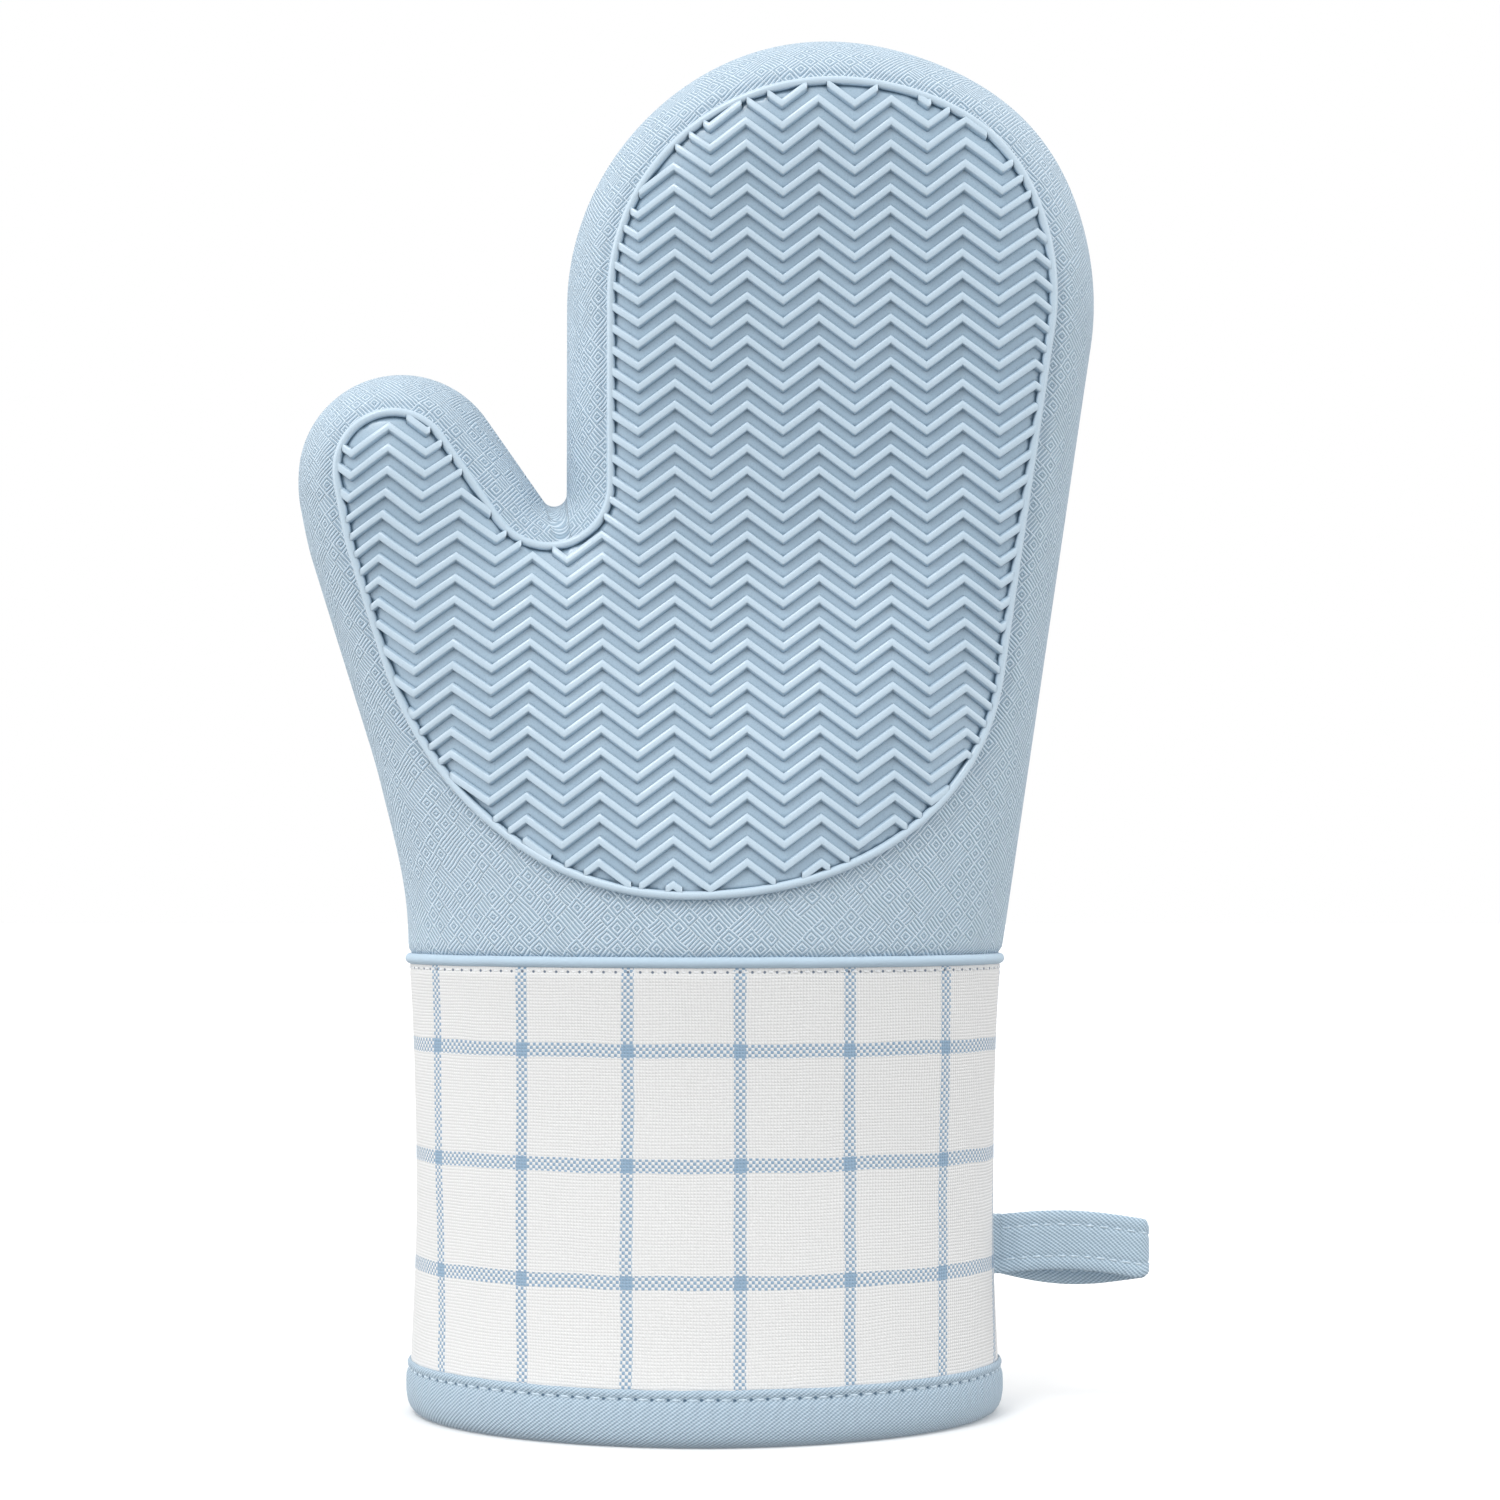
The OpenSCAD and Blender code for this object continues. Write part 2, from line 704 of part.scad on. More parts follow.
module loop_ends() {
    color(sky)
        translate([ends_x - ends_length, -0.9, loop_z - tape_w / 2])
            cube([ends_length, 1.8, tape_w]);
}

// Tack stitches across the loop's ends
module loop_tack_thread() {
    count = 5;
    color(thread_blue)
        for (i = [0:count - 1])
            translate([ends_x - 2, 0, loop_z + mix(-tape_w / 2 + 2, tape_w / 2 - 2, i / (count - 1))])
                rotate([90, 0, 0])
                    cylinder(h = 2.3, r = 0.3, center = true, $fn = 16);
}

palm_side_shell();
back_side_shell();
palm_grip_panel();
back_grip_panel();
palm_side_lining();
back_side_lining();
palm_padding_front();
palm_padding_back();
finger_padding_front();
finger_padding_back();
thumb_padding_front();
thumb_padding_back();
hand_seam_thread();
piping_cord();
piping_cover();
cuff_cloth_front();
cuff_cloth_back();
cuff_padding_front();
cuff_padding_back();
cuff_lining_front();
cuff_lining_back();
cuff_side_threads();
cuff_topstitching();
hem_binding();
hem_stitching();
loop_ends();
loop_tack_thread();
hang_loop();
loop_stitching();
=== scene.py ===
import json
import math

import bmesh
import bpy
import numpy as np
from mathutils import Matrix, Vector
from mathutils.geometry import delaunay_2d_cdt


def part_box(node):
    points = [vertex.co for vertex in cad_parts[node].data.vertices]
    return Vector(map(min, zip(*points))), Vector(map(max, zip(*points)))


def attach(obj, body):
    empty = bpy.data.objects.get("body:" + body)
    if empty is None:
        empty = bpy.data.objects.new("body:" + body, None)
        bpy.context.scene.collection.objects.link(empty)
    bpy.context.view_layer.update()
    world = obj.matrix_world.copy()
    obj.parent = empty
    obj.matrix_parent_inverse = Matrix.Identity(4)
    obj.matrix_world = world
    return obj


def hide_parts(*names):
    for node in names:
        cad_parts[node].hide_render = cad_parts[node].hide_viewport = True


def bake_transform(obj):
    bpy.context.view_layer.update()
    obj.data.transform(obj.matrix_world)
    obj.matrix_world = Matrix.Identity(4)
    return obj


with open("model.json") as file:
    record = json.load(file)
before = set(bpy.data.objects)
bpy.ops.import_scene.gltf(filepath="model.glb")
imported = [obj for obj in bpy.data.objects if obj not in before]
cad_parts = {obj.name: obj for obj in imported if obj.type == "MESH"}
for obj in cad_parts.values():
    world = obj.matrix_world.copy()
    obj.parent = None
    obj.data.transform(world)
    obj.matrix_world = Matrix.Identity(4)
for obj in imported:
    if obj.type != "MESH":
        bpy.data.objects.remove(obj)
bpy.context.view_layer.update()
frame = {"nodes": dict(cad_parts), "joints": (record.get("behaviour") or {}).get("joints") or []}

MM = 0.001
rng = np.random.default_rng(7)

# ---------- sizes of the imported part, in millimetres ----------

SEAM_Z = 108.0
SEAM_W = 71.6
SEAM_D = 41.0
HAND_D = 23.0
EDGE_R = 24.0
FLAT_Z = 212.0
FINGER_R = 64.0
FINGER_C = np.array([30.4, 266.0])
CROTCH_R = 3.0
THUMB_R = 25.0
THUMB_C = np.array([-73.6, 224.7])
OUTER_LEAN = 17.5
INNER_LEAN = 35.0
THUMB_LEAVES = np.array([-26.0, 176.0])
HAND_BASE = 109.5
POWER = 1.9
WAIST_W = 69.4
WAIST_Z = 60.0
HEM_W = 70.8
HEM_D = 56.0
PIPING_R = 1.28
PIPING_Z = 108.4
CUFF_CLOTH = 0.9
CUFF_LINING_IN = 4.3
CUFF_INNER = 5.1

HEM_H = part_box("hem_binding")[1].z / MM
LOOP_LOW, LOOP_HIGH = (np.array(c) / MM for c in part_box("hang_loop"))

# ---------- outline of the hand ----------


def unit(degrees):
    a = math.radians(degrees)
    return np.array([math.cos(a), math.sin(a)])


def ease(k):
    k = np.clip(k, 0, 1)
    return k * k * (3 - 2 * k)


def mix(a, b, k):
    return a + (b - a) * k


BASE_RIGHT = np.array([SEAM_W, HAND_BASE])
_reach = FINGER_C - BASE_RIGHT
RIGHT_DIR = math.degrees(math.atan2(_reach[1], _reach[0]) - math.asin(FINGER_R / np.hypot(*_reach)))
RIGHT_N = unit(RIGHT_DIR - 90)
_lean = math.radians(OUTER_LEAN)
SIDE_R = ((SEAM_W + THUMB_C[0]) * math.cos(_lean) + (THUMB_C[1] - HAND_BASE) * math.sin(_lean)
          - THUMB_R) / (1 - math.cos(_lean))
SIDE_C = np.array([-SEAM_W - SIDE_R, HAND_BASE])
OUTER_N = unit(180 + OUTER_LEAN)
INNER_N = unit(INNER_LEAN)
FINGER_LEFT = FINGER_C[0] - FINGER_R
CROTCH_X = FINGER_LEFT - CROTCH_R
CROTCH_Z = (INNER_N @ THUMB_C + THUMB_R + CROTCH_R - INNER_N[0] * CROTCH_X) / INNER_N[1]
CROTCH_C = np.array([CROTCH_X, CROTCH_Z])
CROTCH_LOW = np.array([CROTCH_X, CROTCH_Z - CROTCH_R])
SIDE_TOP = SIDE_C + SIDE_R * unit(OUTER_LEAN)
RIGHT_TOP = FINGER_C + FINGER_R * RIGHT_N
RIGHT_MID = mix(RIGHT_TOP, BASE_RIGHT, 0.55)
THUMB_FOLD_B = SIDE_C + SIDE_R * unit(0.75 * OUTER_LEAN)
THUMB_ALONG = (CROTCH_LOW - THUMB_FOLD_B) / np.hypot(*(CROTCH_LOW - THUMB_FOLD_B))
THUMB_AWAY = np.array([-THUMB_ALONG[1], THUMB_ALONG[0]])
BASE_MID = np.array([0.0, HAND_BASE])

OUTLINE = [
    ("arc", SIDE_C, SIDE_R, 0, OUTER_LEAN, -1),
    ("line", SIDE_TOP, THUMB_C + THUMB_R * OUTER_N, OUTER_N),
    ("arc", THUMB_C, THUMB_R, 180 + OUTER_LEAN, INNER_LEAN, 1),
    ("line", THUMB_C + THUMB_R * INNER_N, CROTCH_C - CROTCH_R * INNER_N, INNER_N),
    ("arc", CROTCH_C, CROTCH_R, 180 + INNER_LEAN, 360, -1),
    ("line", np.array([FINGER_LEFT, CROTCH_Z]), np.array([FINGER_LEFT, FINGER_C[1]]),
     np.array([-1.0, 0.0])),
    ("arc", FINGER_C, FINGER_R, 180, RIGHT_DIR - 90, 1),
    ("line", RIGHT_TOP, RIGHT_MID, RIGHT_N),
    ("line", RIGHT_MID, BASE_RIGHT, RIGHT_N),
]

# Middle line that each stretch's spokes run to, and the number of spokes
SPINE = [
    (BASE_MID, THUMB_LEAVES, 40), (THUMB_LEAVES, THUMB_C, 30), (THUMB_C, THUMB_C, 48),
    (THUMB_C, THUMB_LEAVES, 30), (THUMB_LEAVES, THUMB_LEAVES, 24), (THUMB_LEAVES, FINGER_C, 34),
    (FINGER_C, FINGER_C, 96), (FINGER_C, THUMB_LEAVES, 34), (THUMB_LEAVES, BASE_MID, 40),
]


def station(part, k):
    """Point on the outline and outward normal at a fraction of one stretch."""
    if part[0] == "arc":
        v = unit(mix(part[3], part[4], k))
        return part[1] + part[2] * v, part[5] * v
    return mix(part[1], part[2], k), part[3]


def stations():
    """Edge points, outward normals and middle points, clockwise from the base's left end."""
    rows = []
    for i, (part, (a, b, steps)) in enumerate(zip(OUTLINE, SPINE)):
        last = i == len(OUTLINE) - 1
        for j in range(steps + (1 if last else 0)):
            edge, normal = station(part, j / steps)
            rows.append((edge, normal, mix(a, b, j / steps)))
    return tuple(np.array(c) for c in zip(*rows))


EDGE, EDGE_N, MIDDLE = stations()


def edge_gap(p, inset=0.0):
    """Distance from points to the outline, after the outline moves in by inset."""
    best = np.full(len(p), 400.0)
    for part in OUTLINE:
        if part[0] == "arc":
            v = p - part[1]
            r = np.hypot(v[:, 0], v[:, 1])
            half = math.radians(abs(part[4] - part[3]) / 2)
            ok = v @ unit((part[3] + part[4]) / 2) >= math.cos(half) * r - 0.001
            d = np.where(ok, np.abs(r - (part[2] - part[5] * inset)), 400.0)
        else:
            a = part[1] - part[3] * inset
            run = part[2] - part[1]
            k = np.clip((p - a) @ run / (run @ run), 0, 1)
            d = np.hypot(*(p - a - k[:, None] * run).T)
        best = np.minimum(best, d)
    return best


def inside(p, polygon):
    """Which points lie inside a closed polygon."""
    a = polygon
    b = np.roll(polygon, -1, axis=0)
    x, z = p[:, 0][:, None], p[:, 1][:, None]
    crosses = (a[:, 1] > z) != (b[:, 1] > z)
    rise = np.where(b[:, 1] == a[:, 1], 1.0, b[:, 1] - a[:, 1])
    return (crosses & (x < (b[:, 0] - a[:, 0]) * (z - a[:, 1]) / rise + a[:, 0])).sum(1) % 2 == 1


def line_gap(p, polygon):
    """Distance from points to a closed polygon's line."""
    a = polygon
    run = np.roll(polygon, -1, axis=0) - a
    v = p[:, None, :] - a[None]
    k = np.clip((v * run).sum(2) / (run * run).sum(1), 0, 1)
    return np.sqrt((((v - k[..., None] * run) ** 2).sum(2)).min(1))


# ---------- thickness of the hand ----------


def rounded(k):
    u = np.clip(k, 0, 1)
    return (1 - (1 - u) ** POWER) ** (1 / POWER)


def plain_depth(p, inset=0.0):
    """Half of the hand's thickness, by the same rule as the CAD solid."""
    k = ease((p[:, 1] - HAND_BASE) / (FLAT_Z - HAND_BASE))
    return (mix(SEAM_D, HAND_D, k) - inset) * rounded(
        edge_gap(p, inset) / (mix(SEAM_W, EDGE_R, k) - inset))


GRID_LOW = np.array([-112.0, 96.0])
GRID_SIZE = (216, 248)


def blurred(field, sigma):
    reach = int(3 * sigma)
    kernel = np.exp(-0.5 * (np.arange(-reach, reach + 1) / sigma) ** 2)
    kernel /= kernel.sum()
    for axis in (0, 1):
        padded = np.pad(field, [(reach, reach) if a == axis else (0, 0) for a in (0, 1)], mode="edge")
        field = np.apply_along_axis(lambda row: np.convolve(row, kernel, mode="valid"), axis, padded)
    return field


def soft_field():
    """The thickness on a 1 mm grid, smoothed so that the middle of the hand has no crease."""
    x, z = np.meshgrid(np.arange(GRID_SIZE[0]), np.arange(GRID_SIZE[1]), indexing="ij")
    p = np.stack([x.ravel() + GRID_LOW[0], np.maximum(z.ravel() + GRID_LOW[1], HAND_BASE + 0.01)], 1)
    depth = np.where(inside(p, EDGE), plain_depth(p), 0.0)
    return blurred(depth.reshape(GRID_SIZE), 5.0)


SOFT = soft_field()


def spline_weights(t):
    return np.stack([(1 - t) ** 3, 3 * t ** 3 - 6 * t ** 2 + 4,
                     -3 * t ** 3 + 3 * t ** 2 + 3 * t + 1, t ** 3]) / 6


def sample(field, p):
    """A cubic spline through the grid, at any points."""
    q = p - GRID_LOW
    base = np.floor(q).astype(int)
    t = q - base
    wx, wz = spline_weights(t[:, 0]), spline_weights(t[:, 1])
    total = np.zeros(len(p))
    for i in range(4):
        for j in range(4):
            ix = np.clip(base[:, 0] + i - 1, 0, GRID_SIZE[0] - 1)
            iz = np.clip(base[:, 1] + j - 1, 0, GRID_SIZE[1] - 1)
            total += wx[i] * wz[j] * field[ix, iz]
    return total


def depth(p, inset=0.0):
    """Half of the hand's thickness, smooth in the middle."""
    share = ease((edge_gap(p) - 7) / 13)
    return mix(plain_depth(p, inset), sample(SOFT, p) - inset, share)


def on_surface(p, height=0.0):
    """Points on the palm side of the hand, with their outward normals."""
    step = 0.5
    dx = (depth(p + [step, 0]) - depth(p - [step, 0])) / (2 * step)
    dz = (depth(p + [0, step]) - depth(p - [0, step])) / (2 * step)
    normal = np.stack([-dx, -np.ones(len(p)), -dz], 1)
    normal /= np.linalg.norm(normal, axis=1)[:, None]
    at = np.stack([p[:, 0], -depth(p), p[:, 1]], 1)
    return at + normal * np.reshape(height, (-1, 1)), normal


# ---------- meshes ----------


def make_object(name, points, faces, material, uv=None):
    """A smooth-shaded object from points in millimetres, with cloth coordinates in millimetres."""
    mesh = bpy.data.meshes.new(name)
    mesh.from_pydata((np.asarray(points) * MM).tolist(), [], [tuple(int(i) for i in f) for f in faces])
    mesh.update()
    mesh.polygons.foreach_set("use_smooth", np.ones(len(mesh.polygons), bool))
    if uv is not None:
        corner = np.empty(len(mesh.loops), int)
        mesh.loops.foreach_get("vertex_index", corner)
        layer = mesh.uv_layers.new(name="cloth")
        layer.data.foreach_set("uv", np.asarray(uv, float)[corner].ravel())
    mesh.materials.append(material)
    obj = bpy.data.objects.new(name, mesh)
    bpy.context.scene.collection.objects.link(obj)
    return obj


def flipped(faces):
    return [tuple(reversed(f)) for f in faces]


def mirrored(points, faces):
    """The same shape on the back of the mitt."""
    return points * [1, -1, 1], flipped(faces)


def grid_faces(rows, cols, wrap_rows=False, wrap_cols=False):
    faces = []
    for i in range(rows if wrap_rows else rows - 1):
        for k in range(cols if wrap_cols else cols - 1):
            a, b = i * cols + k, ((i + 1) % rows) * cols + k
            c, d = ((i + 1) % rows) * cols + (k + 1) % cols, i * cols + (k + 1) % cols
            faces.append((a, b, c, d))
    return faces


def tube_faces(rows, sides):
    """Faces of a tube with both its ends closed."""
    last = (rows - 1) * sides
    ends = [tuple(range(sides - 1, -1, -1)), tuple(range(last, last + sides))]
    return grid_faces(rows, sides, wrap_cols=True) + ends


def thicken(outer, inner, faces):
    """A closed layer between two sets of points that share the same faces."""
    n = len(outer)
    edges = {}
    for f in faces:
        for a, b in zip(f, f[1:] + f[:1]):
            edges[(a, b)] = True
    walls = [(b, a, a + n, b + n) for a, b in edges if (b, a) not in edges]
    under = [tuple(i + n for i in reversed(f)) for f in faces]
    return np.concatenate([outer, inner]), list(faces) + under + walls


def welded(points, faces, *extra):
    """Joins points at the same place, and drops what is left of faces that close up."""
    _, first, back = np.unique(np.round(points, 3), axis=0, return_index=True, return_inverse=True)
    back = back.ravel()
    kept = []
    for f in faces:
        g = [int(back[i]) for i in f]
        g = [v for i, v in enumerate(g) if v != g[i - 1]]
        if len(set(g)) > 2:
            kept.append(tuple(g))
    return (points[first], kept, *[e[first] for e in extra])


def split_at_thumb(obj):
    """Cuts a piece of the hand along the thumb's fold into a hand part and a thumb part."""
    bm = bmesh.new()
    bm.from_mesh(obj.data)
    cut_x, cut_z = CROTCH_LOW * MM
    near = [f for f in bm.faces
            if f.calc_center_median().x < cut_x or f.calc_center_median().z < cut_z - 1e-4]
    geom = list({v for f in near for v in f.verts}) + list({e for f in near for e in f.edges}) + near
    bmesh.ops.bisect_plane(bm, geom=geom, dist=1e-7, plane_co=(cut_x, 0, cut_z),
                           plane_no=(THUMB_AWAY[0], 0, THUMB_AWAY[1]))
    bm.normal_update()
    keep = bm.verts.layers.float_vector.new("rest_normal")
    for v in bm.verts:
        v[keep] = v.normal
    parts = []
    for part, wanted in (("hand", False), ("thumb", True)):
        piece = bm.copy()
        away = Vector((THUMB_AWAY[0], 0, THUMB_AWAY[1]))
        corner = Vector((cut_x, 0, cut_z))
        drop = [f for f in piece.faces if wanted != (
            (f.calc_center_median() - corner).dot(away) > 0 and f.calc_center_median().x < cut_x)]
        bmesh.ops.delete(piece, geom=drop, context="FACES")
        name = obj.name + "_" + part
        mesh = bpy.data.meshes.new(name)
        piece.to_mesh(mesh)
        piece.free()
        for m in obj.data.materials:
            mesh.materials.append(m)
        normals = np.empty(len(mesh.vertices) * 3, np.float32)
        mesh.attributes["rest_normal"].data.foreach_get("vector", normals)
        mesh.attributes.remove(mesh.attributes["rest_normal"])
        mesh.normals_split_custom_set_from_vertices(normals.reshape(-1, 3).tolist())
        made = bpy.data.objects.new(name, mesh)
        bpy.context.scene.collection.objects.link(made)
        parts.append(made)
    bm.free()
    bpy.data.objects.remove(obj)
    return parts


def bend(hand, thumb):
    """Bakes the transforms of the hand part and the thumb part into their meshes."""
    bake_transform(hand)
    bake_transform(thumb)


# ---------- node helpers for materials ----------


class Value:
    """A socket of a material that can stand in a sum, a product or a comparison."""

    def __init__(self, paint, socket):
        self.paint = paint
        self.socket = socket

    def __add__(self, other):
        return self.paint.math("ADD", self, other)

    def __sub__(self, other):
        return self.paint.math("SUBTRACT", self, other)

    def __rsub__(self, other):
        return self.paint.math("SUBTRACT", other, self)

    def __mul__(self, other):
        return self.paint.math("MULTIPLY", self, other)

    def __truediv__(self, other):
        return self.paint.math("DIVIDE", self, other)

    def __mod__(self, other):
        return self.paint.math("MODULO", self, other)

    def __lt__(self, other):
        return self.paint.math("LESS_THAN", self, other)

    def __abs__(self):
        return self.paint.math("ABSOLUTE", self)


class Paint:
    """Builds one procedural material, step by step."""

    def __init__(self, name):
        self.material = bpy.data.materials.new(name)
        self.material.use_nodes = True
        self.tree = self.material.node_tree
        self.tree.nodes.clear()
        self.out = self.node("OutputMaterial")
        self.shader = self.node("BsdfPrincipled")
        self.tree.links.new(self.shader.outputs[0], self.out.inputs[0])

    def node(self, kind):
        return self.tree.nodes.new("ShaderNode" + kind)

    def link(self, value, socket):
        """Feeds a socket from a value, a number or a colour."""
        if isinstance(value, Value):
            self.tree.links.new(value.socket, socket)
        elif socket.type == "RGBA":
            socket.default_value = (*value, 1.0)
        else:
            socket.default_value = value

    def math(self, operation, a, b=0.0, c=0.0, clamp=False):
        n = self.node("Math")
        n.operation = operation
        n.use_clamp = clamp
        for socket, value in zip(n.inputs, (a, b, c)):
            self.link(value, socket)
        return Value(self, n.outputs[0])

    def cloth(self):
        """Cloth coordinates in millimetres, along and across."""
        n = self.node("UVMap")
        n.uv_map = "cloth"
        s = self.node("SeparateXYZ")
        self.tree.links.new(n.outputs[0], s.inputs[0])
        return Value(self, s.outputs[0]), Value(self, s.outputs[1])

    def place(self):
        """The point's own place on the object, in metres."""
        return Value(self, self.node("TexCoord").outputs["Object"])

    def join(self, x, y, z=0.0):
        n = self.node("CombineXYZ")
        for socket, value in zip(n.inputs, (x, y, z)):
            self.link(value, socket)
        return Value(self, n.outputs[0])

    def noise(self, vector, scale, detail=2.0, rough=0.5):
        n = self.node("TexNoise")
        self.link(vector, n.inputs["Vector"])
        n.inputs["Scale"].default_value = scale
        n.inputs["Detail"].default_value = detail
        n.inputs["Roughness"].default_value = rough
        return Value(self, n.outputs["Fac"])

    def random(self, vector):
        n = self.node("TexWhiteNoise")
        n.noise_dimensions = "3D"
        self.link(vector, n.inputs["Vector"])
        return Value(self, n.outputs["Value"])

    def range(self, value, low, high, to_low=0.0, to_high=1.0):
        """A soft step between two levels."""
        n = self.node("MapRange")
        n.interpolation_type = "SMOOTHSTEP"
        self.link(value, n.inputs["Value"])
        for key, level in (("From Min", low), ("From Max", high), ("To Min", to_low), ("To Max", to_high)):
            n.inputs[key].default_value = level
        return Value(self, n.outputs[0])

    def mix(self, factor, a, b):
        """A colour between two others."""
        n = self.node("Mix")
        n.data_type = "RGBA"
        self.link(factor, n.inputs["Factor"])
        colours = [s for s in n.inputs if s.type == "RGBA"]
        for value, socket in zip((a, b), colours):
            self.link(value, socket)
        return Value(self, next(s for s in n.outputs if s.type == "RGBA"))

    def lines(self, value, period):
        """1 on evenly spaced lines and 0 half way between them."""
        return self.math("MULTIPLY_ADD", self.math("COSINE", value * (2 * math.pi / period)), 0.5, 0.5)

    def wave(self, value, period):
        return self.math("SINE", value * (2 * math.pi / period))

    def corner(self, reach):
        """0 in tight corners and 1 in the open: a mask for painted shade in corners."""
        n = self.node("AmbientOcclusion")
        n.samples = 8
        n.only_local = True
        n.inputs["Distance"].default_value = reach
        return self.range(Value(self, n.outputs["AO"]), 0.35, 0.85)

    def holes(self, x, y, pitch, row, radius):
        """1 in the needle holes of a stitch row, 0 elsewhere: a mask for painted shade in the holes."""
        turn = x / pitch
        dx = (turn - self.math("ROUND", turn)) * pitch
        dy = y - row
        return self.range(self.math("SQRT", dx * dx + dy * dy), 0.5 * radius, 1.2 * radius, 1.0, 0.0)

    def finish(self, colour, roughness, height, bump, **constants):
        """Ends the material with its colour, roughness, relief in millimetres and fixed values."""
        self.link(colour, self.shader.inputs["Base Color"])
        self.link(roughness, self.shader.inputs["Roughness"])
        n = self.node("Bump")
        n.inputs["Strength"].default_value = 1.0
        n.inputs["Distance"].default_value = bump * MM
        self.link(height, n.inputs["Height"])
        self.tree.links.new(n.outputs[0], self.shader.inputs["Normal"])
        for key, value in constants.items():
            self.shader.inputs[key.replace("_", " ").title().replace("Ior", "IOR")].default_value = value
        return self.material


def hand_cloth():
    """Pale blue cloth with nested diamonds and hatched diamonds woven on the bias."""
    m = Paint("hand_cloth")
    x, y = m.cloth()
    diagonal = math.sqrt(0.5)
    shift = m.noise(m.join(x * 0.04, y * 0.04), 3.0) * 1.2
    u = (x + y) * diagonal + shift
    v = (y - x) * diagonal - shift
    pitch = 0.84
    cell = 4 * pitch
    cu, cv = u / cell, v / cell
    fu, fv = m.math("FLOOR", cu), m.math("FLOOR", cv)
    du, dv = abs(cu - fu - 0.5), abs(cv - fv - 0.5)
    far = m.math("MAXIMUM", du, dv)
    kind = m.random(m.join(fu, fv))
    is_nested, is_u = kind < 0.5, kind < 0.75
    hatch = m.lines(du * cell, pitch) * is_u + m.lines(dv * cell, pitch) * (1.0 - is_u)
    weave = m.lines(far * cell, pitch) * is_nested + hatch * (1.0 - is_nested)
    weave = m.math("MAXIMUM", weave, m.range(far, 0.46, 0.49))
    yarn = m.noise(m.join(u, v), 3.5, 3.0, 0.6)
    tone = m.mix(m.range(weave, 0.25, 1.0), (0.345, 0.470, 0.580), (0.690, 0.810, 0.910))
    patch = m.range(m.noise(m.place(), 22.0, 3.0), 0.35, 0.65, 0.0, 0.16)
    tone = m.mix(patch, tone, (0.52, 0.64, 0.74))
    rough = m.range(weave, 0.0, 1.0, 0.86, 0.72)
    return m.finish(tone, rough, weave * 0.8 + yarn * 0.45, 0.32, sheen_weight=0.12,
                    sheen_roughness=0.5, specular_ior_level=0.3)


def silicone():
    """Satin moulded silicone with a faint grain, with a painted highlight that makes the raised ribs paler
    and painted shade in tight corners.
    """
    m = Paint("silicone")
    rise, _ = m.cloth()
    grain = m.noise(m.place(), 2600.0, 3.0, 0.6)
    cloud = m.noise(m.place(), 30.0, 2.0)
    tone = m.mix(m.range(cloud, 0.3, 0.7), (0.335, 0.460, 0.570), (0.365, 0.490, 0.600))
    # painted highlight: the raised parts of the ribs are painted paler than the base, for the light they
    # catch
    tone = m.mix(m.range(rise, 0.2, 0.95), tone, (0.500, 0.625, 0.730))
    tone = m.mix(m.range(grain, 0.35, 0.65, 0.0, 0.10), tone, (0.54, 0.67, 0.77))
    # painted shade: tight corners, such as the feet of the ribs and the sides of the bead, are painted
    # dark
    tone = m.mix(m.corner(0.0014), (0.150, 0.235, 0.320), tone)
    rough = m.range(grain, 0.3, 0.7, 0.26, 0.34)
    return m.finish(tone, rough, grain, 0.03, specular_ior_level=0.5, coat_weight=0.35,
                    coat_roughness=0.18)


def check_cloth(hole_pitch):
    """White plain weave with a blue windowpane check: a stripe is blue only where its yarn is on top."""
    m = Paint("check_cloth")
    x, y = m.cloth()
    yarn = 0.74
    lift = m.noise(m.join(x, y), 0.06, 1.0)
    sx, sy = x + lift, y + lift
    weave = m.wave(sx, 2 * yarn) * m.wave(sy, 2 * yarn)
    warp_up = m.range(weave, -0.25, 0.25)

    def stripe(value, pitch, centre, half):
        off = abs((value + (pitch * 40 - centre + pitch / 2)) % pitch - pitch / 2)
        return m.range(off, half + 0.12, half - 0.12)

    up, across = stripe(sx, 26.0, 9.2, 1.45), stripe(sy, 26.1, 10.4, 1.6)
    blue = m.math("ADD", up * warp_up, across * (1.0 - warp_up), clamp=True)
    fuzz = m.noise(m.join(x, y), 1.7, 4.0, 0.7)
    patchy = m.range(fuzz, 0.3, 0.7)
    white = m.mix(patchy, (0.745, 0.745, 0.741), (0.795, 0.795, 0.793))
    ink = m.mix(patchy, (0.225, 0.345, 0.480), (0.300, 0.425, 0.560))
    tone = m.mix(blue, white, ink)
    # painted shade: the gaps between the yarns are painted grey
    tone = m.mix(m.range(1.0 - abs(weave), 0.55, 1.0, 0.0, 0.16), tone, (0.40, 0.43, 0.47))
    # painted shade: the needle holes of the top stitches are painted dark
    tone = m.mix(m.holes(x, y, hole_pitch, TOP_STITCH_Z, 0.38), tone, (0.16, 0.20, 0.26))
    ripple = m.noise(m.place(), 60.0, 2.0)
    return m.finish(tone, 0.88, abs(weave) + (fuzz * 0.5 + ripple * 2.0), 0.10, sheen_weight=0.15,
                    sheen_roughness=0.5, specular_ior_level=0.2)


